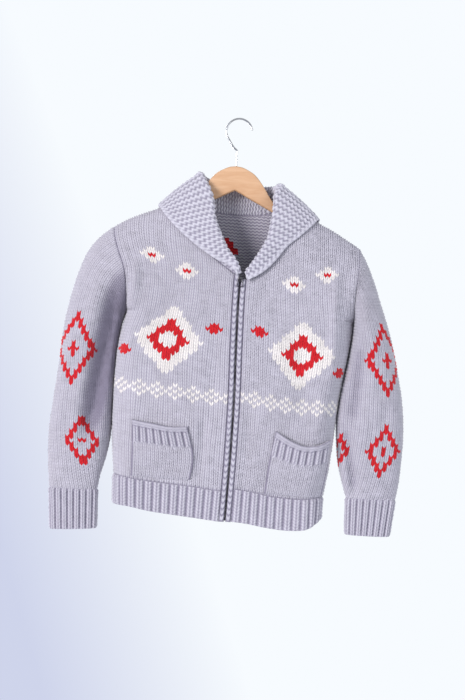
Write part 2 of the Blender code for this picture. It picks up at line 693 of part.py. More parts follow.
# ---------------------------------------------------------------- collar
def clear_of_body(points, clearance, rounds=4):
    """Move points out along the slope of the body's depth until they are clear of its surface."""
    def fullness(p):
        depths = smooth(DEPTH, p[..., 2])
        full = np.where(p[..., 1] < 0, depths[..., 0], depths[..., 1])
        drop = (shoulder_z(p[..., 0]) - p[..., 2]) * math.cos(LEAN_OF_SHOULDER)
        return np.hypot(p[..., 1] / full, np.clip(1 - drop / SHOULDER_ROLL, 0, None))

    step = 0.05
    for _ in range(rounds):
        here = fullness(points)
        slope = np.stack([(fullness(points + step * axis) - here) / step for axis in np.eye(3)], -1)
        size = np.linalg.norm(slope, axis=-1)
        short = np.clip(clearance - (here - 1) / size, 0, None)
        points = points + (short / size)[..., None] * slope
    return points


def collar_clearance(points):
    """Distance from body to the collar's middle, larger over the shoulders' crest."""
    return WALL / 2 + 0.6 + 2.0 * np.exp(-(points[:, 1] / 26) ** 2)


def collar_grid(panels):
    """Middle surface of the collar: columns round the neck, rows from seam over the roll to the edge."""
    left, right, back = panels
    neck = slice(BODY_ROWS, None)
    half = ROLL_COLUMNS + FLAT_COLUMNS
    back_columns = slice(half, half + BACK_NECK_COLUMNS + 1)
    seam = np.concatenate([left[0][neck, -1], back[0][-1, back_columns][1:-1],
                           right[0][neck, -1][::-1]])
    normals = np.concatenate([left[1][neck, -1], back[1][-1, back_columns][1:-1],
                              right[1][neck, -1][::-1]])
    cross = np.concatenate([left[3], back[3][1:-1], right[3][::-1]])
    shares = neck_shares()
    places = np.concatenate([shares, 1 + back_neck_shares()[1:-1], 3 - shares[::-1]])
    table = smooth(COLLAR, places)
    axis, radius = table[:, 0:3], table[:, 3:4]
    edge_x_, edge_z = table[:, 4], table[:, 5]
    bearing, lift = np.radians(table[:, 6]), table[:, 7:8]
    facing = np.clip(-3 * np.cos(bearing), -1, 1)
    depth = np.where(facing < 0, -body_y(edge_x_, edge_z, "front"),
                     body_y(edge_x_, edge_z, "back"))
    edge = np.column_stack([edge_x_, facing * depth, edge_z])
    start = seam - normals * WALL / 2 + cross * HALF_GAP
    upward = unit(axis - start)
    away = np.column_stack([-np.sin(bearing), -np.cos(bearing), 0 * bearing])
    outward = unit(away - np.einsum("ij,ij->i", away, upward)[:, None] * upward)
    foot, head = axis - radius * outward, axis + radius * outward
    rows = [start + (foot - start) * k / STAND_STEPS for k in range(STAND_STEPS)]
    for k in range(ROLL_STEPS + 1):
        turn = math.pi * k / ROLL_STEPS
        rows.append(axis + radius * (math.sin(turn) * upward - math.cos(turn) * outward))
    edge = clear_of_body(edge, collar_clearance(edge)) + away * lift
    reach = np.linalg.norm(edge - head, axis=1)[:, None]
    belly = FALL_BOW * np.clip(reach / 60 - 0.2, 0, 1)
    for k in range(1, FALL_STEPS + 1):
        share = k / FALL_STEPS
        point = head + (edge - head) * share
        point = clear_of_body(point, collar_clearance(point))
        rows.append(point + away * belly * 4 * share * (1 - share))
    return np.array(rows), normals


def build_collar(panels, material):
    grid, seam_normals = collar_grid(panels)
    normals = grid_normals(grid)
    normals *= np.sign(-np.einsum("ij,ij->i", normals[0], seam_normals).mean())
    normals[0] = -seam_normals
    half = normals * WALL / 2
    shell("collar", grid + half, grid - half, material)


# ---------------------------------------------------------------- pockets
def build_pocket(side, material):
    """Patch pocket on its front: the front's own points, moved out, bellied towards the mouth."""
    shape = POCKET[side]
    ribs, raised = rib_heights(POCKET_RIBS)
    ribs, raised = np.append(ribs, 1.0), np.append(raised, False)
    levels = np.array([0, POCKET_RIB_FOOT / 2, POCKET_RIB_FOOT - 0.04, POCKET_RIB_FOOT,
                       POCKET_BEAD_FOOT, POCKET_BEAD_FOOT + 0.03, 1.0])
    on_rib = np.array([0, 0, 0, 1, 1, 0, 0])
    on_bead = np.array([0, 0, 0, 0, 0, 1, 1])
    outer_side, inner_side = along(shape["outer"], levels), along(shape["inner"], levels)
    mouth = along(shape["mouth"], ribs)
    foot = outer_side[0] + (inner_side[0] - outer_side[0]) * ribs[:, None]
    flat = patch(foot, mouth, outer_side, inner_side)
    grid = np.dstack([flat[..., 0], body_y(flat[..., 0], flat[..., 1], "front"), flat[..., 1]])
    normals = grid_normals(grid)
    normals *= np.sign(-normals[..., 1:2].mean())
    belly = POCKET_LIFT * np.sin(math.pi * ribs)[None] * levels[:, None] ** 1.6
    inner = grid + normals * (SEAM_GAP + belly)[..., None]
    relief = RIB_HEIGHT * np.outer(on_rib, raised) + POCKET_BEAD * on_bead[:, None]
    outer = inner + normals * (WALL + relief)[..., None]
    shell(side + "_pocket", outer, inner, material)


# ---------------------------------------------------------------- zip
def front_at(x, z):
    return body_y(np.asarray(x, float), np.asarray(z, float), "front")


def build_zip_band(side, panel, hem, material):
    """Narrow band from the front's edge to the chain, softly crowned, from hem to collar."""
    grid, normals, _, _ = panel
    base, hem_normals = hem
    upper = grid[:BODY_ROWS + 1, -1]
    line = np.concatenate([base[1:, -1], upper])
    line_normals = np.concatenate([hem_normals[1:, -1], normals[:BODY_ROWS + 1, -1]])
    line[-1, 2] -= 2.0
    towards = -SIGN[side]
    width = BAND_REACH - BAND_INNER - SEAM_GAP
    columns = []
    for share, crown in ((0.0, 0.0), (0.3, 1.2), (0.7, 1.2), (1.0, 0.0)):
        place = line.copy()
        place[:, 0] += towards * (SEAM_GAP + width * share)
        columns.append(place + line_normals * crown)
    outer = np.array(columns)
    inner = np.array([outer[0], outer[0], outer[-1], outer[-1]])
    for k, share in enumerate((0.0, 0.3, 0.7, 1.0)):
        inner[k] = line
        inner[k, :, 0] += towards * (SEAM_GAP + width * share)
    shell(side + "_zip_band", outer, inner - WALL * line_normals[None], material)


def build_zip(material):
    """Closed chain between the bands with its tapes behind them."""
    z = np.linspace(-799, ZIP_TOP, 13)
    x = zip_x(z)
    front = front_at(x, z)
    face, behind = CHAIN_RECESS, WALL + 0.4
    section = [(-CHAIN_HALF, face), (CHAIN_HALF, face), (CHAIN_HALF, behind), (TAPE_HALF, behind),
               (TAPE_HALF, behind + TAPE), (-TAPE_HALF, behind + TAPE), (-TAPE_HALF, behind),
               (-CHAIN_HALF, behind)]
    loops = np.array([[(cx + dx, cy + dy, cz) for dx, dy in section]
                      for cx, cy, cz in zip(x, front, z)])
    points, faces = sweep(loops)
    solid("zip", points, faces, material)


def build_slider(material, pull_material):
    """Slider on the top of the chain, its bail, and the pull that hangs from it."""
    z = SLIDER_TOP - SLIDER_LENGTH * np.array([0, 0.12, 0.5, 0.9, 1])
    x = zip_x(z)
    seat = front_at(x, z) + CHAIN_RECESS - SEAM_GAP
    bands = front_at(x, z) - 1.2 - SEAM_GAP
    taper = np.array([0.86, 1.0, 0.92, 0.72, 0.6])
    neck = CHAIN_HALF - 0.15
    loops = []
    for cx, cz, back, mid, share in zip(x, z, seat, bands, taper):
        half = SLIDER_HALF * share
        front = mid - SLIDER_PLATE
        loops.append([(cx - neck, back, cz), (cx - neck, mid, cz), (cx - half, mid, cz),
                      (cx - half * 0.9, front, cz), (cx + half * 0.9, front, cz),
                      (cx + half, mid, cz), (cx + neck, mid, cz), (cx + neck, back, cz)])
    points, faces = sweep(np.array(loops)[::-1])
    body = solid("zip_slider", points, faces, material)
    centre_z = float(z[1] - 2.6)
    cx = float(zip_x(centre_z))
    front = float(front_at(cx, centre_z)) - 1.2 - SEAM_GAP - SLIDER_PLATE
    angles = np.linspace(-0.5, math.pi + 0.5, 9)
    loops = []
    for angle in angles:
        radial = np.array([0, -math.sin(angle), math.cos(angle)])
        middle = np.array([cx, front - 0.6, centre_z]) + radial * (BAIL_REACH - 1.2)
        loops.append([middle + radial * a * 0.7 + np.array([b * BAIL_HALF, 0, 0])
                      for a, b in ((-1, -1), (1, -1), (1, 1), (-1, 1))])
    points, faces = sweep(np.array(loops))
    bail = solid("zip_bail", points, faces, material)
    union = body.modifiers.new("bail", "BOOLEAN")
    union.operation = "UNION"
    union.solver = "EXACT"
    union.object = bail
    bail.hide_render = True
    bail.display_type = "WIRE"
    pivot = np.array([cx, front - 1.15, centre_z])
    build_pull(pivot, pull_material)
    return pivot


def build_pull(pivot, material):
    """Wire ring with a straight bar that turns in the bail; its origin is on that bar's axis."""
    bar = BAIL_HALF + PULL_WIRE + 0.9
    turns = np.linspace(0, 2 * math.pi, 21)[:-1]
    drop = (1 - np.cos(turns)) / 2
    half = bar + (PULL_HALF - bar) * np.sin(np.clip(drop * 1.15, 0, 1) * math.pi / 2)
    path_x = half * np.sin(turns) / np.maximum(np.abs(np.sin(turns)), 0.35)
    path_x = np.clip(path_x, -PULL_HALF, PULL_HALF) * np.where(drop > 0.97, 0.5, 1)
    path_z = -PULL_LENGTH * drop
    path = np.column_stack([path_x, 0 * turns, path_z])
    tangent = unit(np.roll(path, -1, axis=0) - np.roll(path, 1, axis=0))
    side = np.column_stack([-tangent[:, 2], 0 * turns, tangent[:, 0]])
    loops = []
    for centre, normal in zip(path, side):
        loops.append([pivot + centre + PULL_WIRE * (math.cos(a) * normal + math.sin(a) * np.array([0, 1, 0]))
                      for a in np.linspace(0, 2 * math.pi, 7)[:-1]])
    points, faces = sweep(np.array(loops), ring=True)
    solid("zip_pull", points, faces, material, origin=pivot + [STEM_X, 0, 0], soft=True)


# ---------------------------------------------------------------- hanger
def build_wood(material):
    """Wooden arms and head: rounded sections from tip to tip."""
    reach = WOOD[-1][0]
    x = reach * np.sin(np.linspace(-math.pi / 2, math.pi / 2, 37))
    table = smooth(WOOD, np.abs(x))
    angles = np.linspace(0, 2 * math.pi, 11)[:-1] + math.pi / 10
    loops = []
    for px, (top, bottom, half) in zip(x, table):
        middle, height = (top + bottom) / 2, (top - bottom) / 2
        corner = min(half, height)
        loop = []
        for a in angles:
            y = half * math.cos(a)
            z = middle + (height - corner) * np.sign(math.sin(a)) + corner * math.sin(a)
            loop.append((px, y, z))
        loops.append(loop)
    points, faces = sweep(np.array(loops))
    pivot = np.array([0, 0, WOOD[0][1]])
    turn = np.array([[math.cos(WOOD_TILT), 0, math.sin(WOOD_TILT)], [0, 1, 0],
                     [-math.sin(WOOD_TILT), 0, math.cos(WOOD_TILT)]])
    solid("hanger_wood", (points - pivot) @ turn.T + pivot, faces, material, soft=True)


def build_hook(material):
    """Round wire: stem, elbow and an open loop whose inner top is the origin."""
    centre = np.array([-STEM_X, 0.0, HOOK_RADIUS - HOOK_LOOP])
    turns = np.linspace(HOOK_OPEN, HOOK_TURN, 20)
    loop = np.column_stack([centre[0] + HOOK_LOOP * np.cos(turns), 0 * turns,
                            centre[2] + HOOK_LOOP * np.sin(turns)])
    stem_foot = WOOD[0][1] + SEAM_GAP
    stem = np.array([(0, 0, HOOK_ELBOW_Z), (0, 0, HOOK_ELBOW_Z - 7), (0, 0, stem_foot)])
    bend = along([loop[-2][[0, 2]], loop[-1][[0, 2]], (-6.5, -56.5), (0, HOOK_ELBOW_Z),
                  (0, HOOK_ELBOW_Z - 7)], np.linspace(0.25, 0.72, 5))
    bend = np.column_stack([bend[:, 0], 0 * bend[:, 0], bend[:, 1]])
    path = np.concatenate([loop, bend[1:], stem[1:]])
    tangent = unit(np.gradient(path, axis=0))
    tangent[-1] = (0, 0, -1)
    side = np.column_stack([-tangent[:, 2], 0 * tangent[:, 0], tangent[:, 0]])
    loops = [[c + HOOK_RADIUS * (math.cos(a) * n + math.sin(a) * np.array([0, 1, 0]))
              for a in np.linspace(0, 2 * math.pi, 9)[:-1]] for c, n in zip(path, side)]
    points, faces = sweep(np.array(loops))
    solid("hanger_hook", points, faces, material, soft=True)


# ---------------------------------------------------------------- the whole
def clear_scene():
    for item in list(bpy.data.objects):
        bpy.data.objects.remove(item, do_unlink=True)


def main():
    clear_scene()
    yarn = finish("yarn", YARN, 0.9, 0.0)
    collar_yarn = finish("collar_yarn", COLLAR_YARN, 0.9, 0.0)
    wood = finish("wood", WOOD_COLOUR, 0.4, 0.0)
    wire = finish("wire", METAL, 0.2, 1.0)
    dark = finish("zip_metal", DARK_METAL, 0.4, 0.8)

    fronts = {side: front_panel(side) for side in ("left", "right")}
    back = back_panel()
    build_panel("back_panel", back, yarn)
    hem_ends = {
        "left": (edge_x("left", -777), zip_x(-801) - BAND_REACH),
        "right": (edge_x("right", -792), zip_x(-800) + BAND_REACH),
        "back": (edge_x("left", -777), edge_x("right", -792)),
    }
    for side in ("left", "right"):
        build_panel(side + "_front", fronts[side], yarn)
        sleeve = sleeve_grid(side)
        grid, normals, shift = sleeve
        shell(side + "_sleeve", grid + shift, grid + shift - WALL * normals, yarn, closed=True)
        build_cuff(side, sleeve, yarn)
        hem = build_hem(side, fronts[side], "front", hem_ends[side], yarn)
        build_pocket(side, yarn)
        build_zip_band(side, fronts[side], (hem[0], hem[1]), collar_yarn)
    build_hem("back", back, "back", hem_ends["back"], yarn)
    build_collar((fronts["left"], fronts["right"], back), collar_yarn)
    build_zip(dark)
    build_slider(dark, dark)
    build_wood(wood)
    build_hook(wire)


main()
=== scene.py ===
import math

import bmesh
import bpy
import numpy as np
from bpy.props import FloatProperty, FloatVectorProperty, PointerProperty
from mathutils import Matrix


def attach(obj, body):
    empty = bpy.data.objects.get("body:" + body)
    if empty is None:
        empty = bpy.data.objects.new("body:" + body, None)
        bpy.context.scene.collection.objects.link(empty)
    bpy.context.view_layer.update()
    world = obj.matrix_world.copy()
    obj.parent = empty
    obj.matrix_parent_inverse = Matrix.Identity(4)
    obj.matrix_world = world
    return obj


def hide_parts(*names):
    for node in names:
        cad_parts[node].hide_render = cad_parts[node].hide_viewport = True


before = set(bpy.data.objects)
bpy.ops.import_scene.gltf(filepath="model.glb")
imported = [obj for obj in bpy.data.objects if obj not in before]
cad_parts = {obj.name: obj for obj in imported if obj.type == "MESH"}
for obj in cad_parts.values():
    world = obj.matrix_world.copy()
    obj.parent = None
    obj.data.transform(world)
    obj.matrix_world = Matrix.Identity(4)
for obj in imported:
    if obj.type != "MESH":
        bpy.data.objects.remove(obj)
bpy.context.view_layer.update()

# Chunky knitted cardigan on a wooden hanger: the knitting, zip, wood and wire.
#
# Every knitted piece is a closed wall. Its outer side is a grid of points that follows the wales
# (upright rows of stitches) and the rows of the knitting, four points to a stitch each way, raised
# and sunk into stitches; its inner side has one point to a stitch. The collar is as fine on both
# sides, with six points to a cell each way. X is to the viewer's right, Y away from the viewer, Z
# up, and the origin is the inner top of the hook. Sizes and tables are in millimetres and the
# columns of a table are named above it.

bl_info = {
    "name": "Knitted Cardigan",
    "version": (1, 0, 0),
    "blender": (4, 5, 0),
    "location": "View3D > Sidebar > Cardigan",
    "description": "Chunky zipped cardigan with a shawl collar, on a wooden hanger",
    "category": "Add Mesh",
}

MM = 0.001
STEM = np.array([-3.0, 0.0, 0.0])
SIDES = ("left", "right")

# ---------------------------------------------------------------- sizes, millimetres
WALL = 4.0
LEAN_OF_SHOULDER = math.radians(26.0)
SIDE_ROLL = 45.0
SHOULDER_ROLL = 126.0
UNDERARM_ROLL = 80.0
UNDERARM = {"left": -390.0, "right": -395.0}
# Strength of the shade painted beside each sleeve's underarm seam.
UNDERARM_SHADE = {"left": 0.5, "right": 0.14}
SIGN = {"left": -1.0, "right": 1.0}
FACING = {"front": -1.0, "back": 1.0}
BAND_REACH = 12.2
BAND_INNER = 1.7
GAP = 0.3
ZIP_TOP = -316.0
ZIP_FOOT = -801
PANEL_FOOT = {"front": -756, "back": -754}
PANEL_TOP = -150
NECK_END = {"left": -312.0, "right": -322.0}
HEM_RIBS = {"left": 14, "right": 12, "back": 28}
CUFF_RIBS = 17
POCKET_LIFT = 10.0
POCKET_BEAD = 1.6
FALL_BOW = 4.0

# Stitches across a front, a back and a sleeve's widest ring, a pocket, and round the collar.
FRONT_WALES = 28
BACK_WALES = 58
SLEEVE_WALES = 50
POCKET_WALES = 16
COLLAR_CELLS = 70
# Points to a cell of the collar, rows of a pocket, length of one row of collar and zip bands.
CELL = 6
POCKET_ROWS = 17.5
COLLAR_ROW = 6.6
BAND_ROW = 12.2
# Rows of a pocket at which its parts start: spread of the wales into ribs, ribs, bead, cord,
# painted shadow line under the cord, and rim.
SPREAD_ROW, RIB_ROW, BEAD_ROW, CORD_ROW, LINE_ROW, RIM_ROW = 8.4, 10.4, 15.5, 15.7, 15.8, 17.2
# Rough grids under the knitting: height between a panel's levels, depth of its section, steps round
# a sleeve, and the row along the middle of the collar's fall.
LEVEL_STEP = 1.5
SECTION_DEPTH = 44.0
RING_STEPS = 360
FALL_ROW = 18
# The collar's middle surface: steps over fall, roll and stand, its clearance from the body, how
# much more and how far about the shoulders' crest, and the middle of the neck.
FALL_STEPS, ROLL_STEPS, STAND_STEPS = 41, 17, 15
COLLAR_GAP, CREST_GAP, CREST_REACH = 0.9, 2.0, 26
NECK_MIDDLE = (10.0, 0.0, -205.0)
# Distance between the knitting's points across, and how far from a seam stitches and ribs flatten,
# the cloth is sunk and has shade painted darker, and lean and (in wales) wander of the stitches
# fade.
COLUMN_STEP = 2.1
SEAM_FADE = 3.0
RIB_FADE = 4.0
SEAM_REACH = 4.5
GROOVE_REACH = 3.5
LEAN_FADE = 6.0
WANDER_FADE = 3
# Points nearer to a sleeve's seam than this are drawn onto it.
ON_SEAM = 0.02
# Shade painted into the wool beside the underarm seam: reach and fade from the seam; lower and
# upper height, each with its fade.
SHADE_REACH, SHADE_FADE = 85, 60
(SHADE_LOW, LOW_FADE), (SHADE_HIGH, HIGH_FADE) = (-700, 160), (-260, 70)
# Metres within which points of one mesh are joined.
MERGE_WITHIN = 2e-5

# Wool: colour of the shade painted into the grooves, how far they take it on, and the painted shade
# and purl bumps of the inner side.
WOOL_SHADE = (0.20, 0.17, 0.26)
GROOVE_DEPTH = 0.8
INNER_GROOVE = 0.25
INNER_PURL = 0.75
# Zip tape: tones of the weave and its threads to a unit of the UV map.
TAPE_TONES = (0.05, 0.048, 0.055), (0.10, 0.095, 0.11)
TAPE_WEAVE = 1.6

# Stage, metres: lights (name, place, size, colour), what they aim at, and the camera.
LIGHTS = [("key", (-5.4, -5.9, 0.5), 2.8, (1.0, 0.985, 0.97)),
          ("fill", (2.2, -1.6, -0.1), 2.0, (0.9, 0.94, 1.0)),
          ("rear", (-2.0, 5.2, 0.6), 2.8, (0.96, 0.98, 1.0))]
LIT_POINT = (0.0, 0.0, -0.45)
CAMERA_PLACE = (0.0052, -1.95, -0.4622)
CAMERA_ROLL = math.radians(2.5)

# Hem part and its panel; seeds of the stitches' unevenness.
PANELS = {"left": "left_front", "right": "right_front", "back": "back_panel"}
SEEDS = {"left_front": 11, "right_front": 12, "back_panel": 13, "left_sleeve": 21,
         "right_sleeve": 22, "cuffs": 31, "hems": 41, "collar": (51, 52), "pockets": (61, 62)}

# ---------------------------------------------------------------- tables of the outline
# Edge of the body: height z, then x. Side seam up to the underarm, armhole above it.
EDGE = {
    "left": [(-777, -218), (-718, -219), (-640, -225), (-550, -225), (-490, -223), (-440, -217),
             (-390, -206), (-365, -205), (-335, -207), (-305, -213), (-280, -223), (-252, -233),
             (-225, -239)],
    "right": [(-792, 199), (-748, 201), (-700, 209), (-640, 216), (-585, 221), (-545, 225),
              (-500, 233), (-445, 242), (-395, 246), (-365, 245.5), (-333, 246.5), (-290, 251),
              (-248, 253)],
}
# Top of the shoulders, carried across the neck: x, height z.
SHOULDER = [(-239, -225), (-218, -212.5), (-194, -201), (-163, -189), (-120, -172), (-86, -156),
            (-40, -135), (10, -122), (60, -141), (105, -165), (136, -182), (168, -200),
            (200, -216), (228, -233), (253, -248)]
# Neck seam of each front, from the zip up to the neck point: x, height z.
NECKLINE = {
    "left": [(5.4, -312), (-22, -293), (-52, -268), (-77, -236), (-84, -196), (-86, -156)],
    "right": [(29.7, -322), (54, -308), (78, -283), (96, -255), (104, -212), (105, -165)],
}
# Neck seam of the back, from the left neck point to the right one: x, height z.
BACK_NECK = [(-86, -156), (-62, -176), (-25, -186), (10, -188), (45, -187), (82, -180), (105, -165)]
# Line of the zip: height z, x.
ZIP_LINE = [(-801, 7), (-740, 10), (-650, 13.5), (-550, 15.5), (-450, 15), (-350, 16), (-312, 17.6)]
# Seam between panel and hem rib: x, height z.
HEM_SEAM = {
    "left": [(-219, -718), (-149, -727), (-66, -734), (-2, -741)],
    "right": [(22, -736), (51, -739), (100, -748), (143, -751), (201, -748)],
    "back": [(-219, -718), (-120, -727), (0, -736), (110, -745), (201, -748)],
}
# Lower edge of the hem: x, height z.
HEM_EDGE = {
    "left": [(-218, -777), (-180, -779), (-150, -785), (-100, -791), (-50, -796), (-4, -801)],
    "right": [(19, -800), (50, -803), (86, -809), (143, -813), (171, -809), (199, -792)],
    "back": [(-218, -777), (-120, -786), (0, -797), (110, -806), (199, -792)],
}
# Half depth of the body: height z, front, back.
DEPTH = [(-815, 36, 33), (-720, 40, 37), (-600, 43, 39), (-450, 44, 40), (-300, 42, 38),
         (-90, 42, 38)]
# Sleeve rings: share of the length, outer x and z, inner x and z, front depth, back depth.
SLEEVE = {
    "left": [
        (0.00, -239, -225, -206, -390, 38, 35),
        (0.06, -267, -249, -208.5, -396, 41, 40),
        (0.13, -290, -281, -211.5, -403, 44, 43),
        (0.20, -304, -318, -214.5, -413, 46, 45),
        (0.28, -315, -356, -218, -428, 47, 46),
        (0.37, -325, -402, -221.5, -450, 46, 46),
        (0.47, -332, -452, -225.3, -485, 44, 44),
        (0.58, -337, -510, -227.3, -525, 41, 40),
        (0.70, -345, -575, -228, -582, 37, 35),
        (0.80, -351, -635, -229, -638, 32, 30),
        (0.88, -351, -683, -236, -684, 26, 24),
        (0.95, -348.5, -725, -247, -725, 20, 18),
        (1.00, -346, -752, -251, -752, 15, 14),
    ],
    "right": [
        (0.00, 253, -248, 246, -395, 38, 35),
        (0.07, 271, -283, 248.4, -401, 42, 40),
        (0.14, 286, -319, 248.2, -409, 46, 45),
        (0.22, 300, -361, 247.3, -423, 49, 48),
        (0.30, 314, -401, 245.2, -440, 50, 50),
        (0.40, 328.6, -450, 240.8, -472, 49, 49),
        (0.51, 341, -504, 233.2, -513, 46, 45),
        (0.62, 350, -550, 226.5, -556, 41, 40),
        (0.71, 355, -595, 223, -598, 37, 35),
        (0.80, 356, -640, 225, -641, 32, 31),
        (0.87, 354, -680, 229.5, -680, 28, 26),
        (0.94, 351, -716, 239, -717, 21, 20),
        (1.00, 346, -748, 248, -748, 15, 14),
    ],
}
SLEEVE_BLEND = 0.30
SLEEVE_SQUARENESS = 0.82
# Lower edge of each cuff: outer x and z, inner x and z, front depth, back depth.
CUFF_EDGE = {
    "left": (-341, -835, -250, -830, 13, 12),
    "right": (337, -822, 249.5, -821, 13, 12),
}
# Collar stations: place round the neck (0 to 1 left front, 1 to 2 back, 2 to 3 right front),
# roll axis x, y, z, roll radius, outer edge x, z, bearing of the roll's outer side in degrees
# (0 forward, 90 left, 180 back, 270 right) and lift of the edge off the body.
COLLAR = [
    (0.000, 15, -46.5, -311.5, 2.9, 11, -316, 0, 5.0),
    (0.160, 4.5, -50, -290, 4.2, -2, -297.5, 0, 5.5),
    (0.360, -14, -51, -268, 5.0, -34, -284, 0, 4.0),
    (0.575, -32.5, -50, -233, 5.5, -82, -251, 0, 0.5),
    (0.785, -45, -43, -197, 5.5, -121, -217, 5, 0),
    (0.900, -49, -31, -168, 5.5, -138, -199, 18, 0),
    (0.955, -57, -22, -146, 6.0, -144.5, -191, 45, 0),
    (1.000, -71, -3, -121, 7.0, -149.5, -184.5, 88, 0),
    (1.080, -67, 16, -122, 7.0, -144, -202, 125, 0),
    (1.250, -48, 33, -128, 7.0, -112, -226, 155, 0),
    (1.500, 10, 45, -134, 7.0, 10, -240, 180, 0),
    (1.750, 66, 33, -137, 7.0, 130, -238, 205, 0),
    (1.920, 85, 16, -136, 7.0, 161, -218, 235, 0),
    (2.000, 90, -3, -136, 7.0, 167.5, -199, 272, 0),
    (2.045, 85, -18, -152, 6.5, 161, -204, 315, 0),
    (2.110, 84, -29, -173, 6.0, 152, -213, 342, 0),
    (2.240, 80, -41, -208, 5.5, 133, -231, 355, 0),
    (2.480, 72, -48, -246, 5.5, 103.5, -257, 358, 1.0),
    (2.650, 59, -52, -271, 5.5, 84, -283, 360, 2.5),
    (2.830, 43, -51, -294, 4.5, 59, -308, 360, 3.5),
    (3.000, 27.5, -48, -313, 2.9, 32, -325, 360, 5.0),
]
# Pockets: left side x at foot, middle and top; right side likewise; top edge rows x, z.
POCKET = {
    "left": {"inner": [(-64, -720), (-59, -680), (-73, -616)],
             "outer": [(-181, -717), (-181, -660), (-183, -606)],
             "mouth": [(-183, -606), (-143, -612), (-108, -617), (-73, -616)]},
    "right": {"inner": [(82, -741), (89, -680), (100, -617)],
              "outer": [(194, -744), (203, -690), (207, -631)],
              "mouth": [(207, -631), (178, -643), (157, -644), (130, -635), (100, -617)]},
}
# Folds: piece, face, x and z of one end, x and z of the other, half width, height (raised when
# positive, sunk when negative). The first fourteen are the largest.
FOLDS = [
    ("left_sleeve", "front", -214, -318, -273, -640, 22, -24),
    ("left_sleeve", "front", -300, -470, -318, -660, 16, -4),
    ("left_sleeve", "back", -240, -345, -290, -620, 20, -17),
    ("right_sleeve", "front", 262, -440, 250, -600, 15, -9),
    ("right_sleeve", "front", 236, -605, 264, -738, 11, -10),
    ("right_sleeve", "front", 315, -560, 322, -700, 15, -4),
    ("right_sleeve", "back", 290, -345, 262, -620, 18, -15),
    ("body", "front", -42, -600, -46, -716, 11, -4),
    ("body", "front", -188, -300, -196, -470, 10, 4),
    ("body", "front", 205, -300, 208, -520, 11, 4),
    ("body", "front", 130, -430, 160, -600, 22, -5),
    ("body", "back", -130, -330, -150, -640, 20, -6),
    ("body", "back", 120, -380, 150, -660, 20, -6),
    ("body", "back", 15, -420, 5, -680, 26, 5),
    ("body", "front", -60, -330, -150, -420, 30, -1.6),
    ("body", "front", 62, -330, 132, -440, 26, -1.8),
    ("body", "front", -30, -420, -24, -600, 14, -2.0),
    ("body", "front", 48, -560, 40, -730, 13, -2.4),
    ("body", "front", -206, -520, -196, -640, 14, -2.6),
    ("body", "back", -60, -240, -74, -420, 22, -2.4),
    ("body", "back", 70, -260, 96, -430, 24, -2.2),
    ("left_sleeve", "front", -268, -300, -298, -430, 13, -2.6),
    ("left_sleeve", "front", -262, -560, -300, -640, 10, 2.2),
    ("right_sleeve", "front", 278, -330, 300, -470, 14, -2.6),
    ("right_sleeve", "front", 286, -600, 300, -690, 10, -2.4),
    ("right_sleeve", "back", 330, -520, 326, -690, 14, -3.0),
    ("left_sleeve", "back", -322, -500, -326, -680, 14, -3.0),
]
# Unevenness of hung knitting: height, waves across and up the cloth per metre, phase.
SWAY = [(0.55, 5.1, 2.3, 0.4), (0.45, -3.2, 6.7, 2.1), (0.35, 11.3, 4.1, 4.0),
        (0.3, 8.2, -9.4, 1.2)]
# Hanger wood: distance from the stem, top z, bottom z, half thickness.
WOOD = [(0, -94, -143, 6.0), (12, -95.5, -149, 6.0), (24, -100.5, -155.5, 6.0),
        (38, -109, -162.5, 6.0), (50, -122, -168.5, 6.0), (60, -136, -173.5, 6.0),
        (68, -148, -177.5, 6.0), (78, -161, -183, 6.0), (90, -169, -190, 6.0),
        (120, -183, -205, 6.0), (168, -205.5, -226, 5.6), (192, -217.5, -236, 5.2),
        (202, -223.5, -239.5, 4.6), (206, -228, -237, 3.2)]
WOOD_TILT = math.radians(1.0)
HOOK_RADIUS = 1.8
HOOK_LOOP = 26.0
HOOK_OPEN = math.radians(8.0)
HOOK_TURN = math.radians(222.0)
HOOK_ELBOW_Z = -63.0

# Zip. Each tooth is a row of loops: size and depth of each.
TOOTH = ((0.72, 0.0), (1.0, 0.5), (1.0, 3.2), (0.8, 3.6))
CHAIN_HALF = 1.35
CHAIN_RECESS = 0.8
TAPE_HALF = 11.5
TAPE = 1.0
SLIDER_TOP = -317.5
SLIDER_LENGTH = 11.0
SLIDER_HALF = 4.6
SLIDER_PLATE = 1.8
SLIDER_STAND = 1.5
PULL_WIRE = 0.8
PULL_HALF = 5.6
PULL_LENGTH = 16.5
BAIL_REACH = 4.2
BAIL_HALF = 0.8

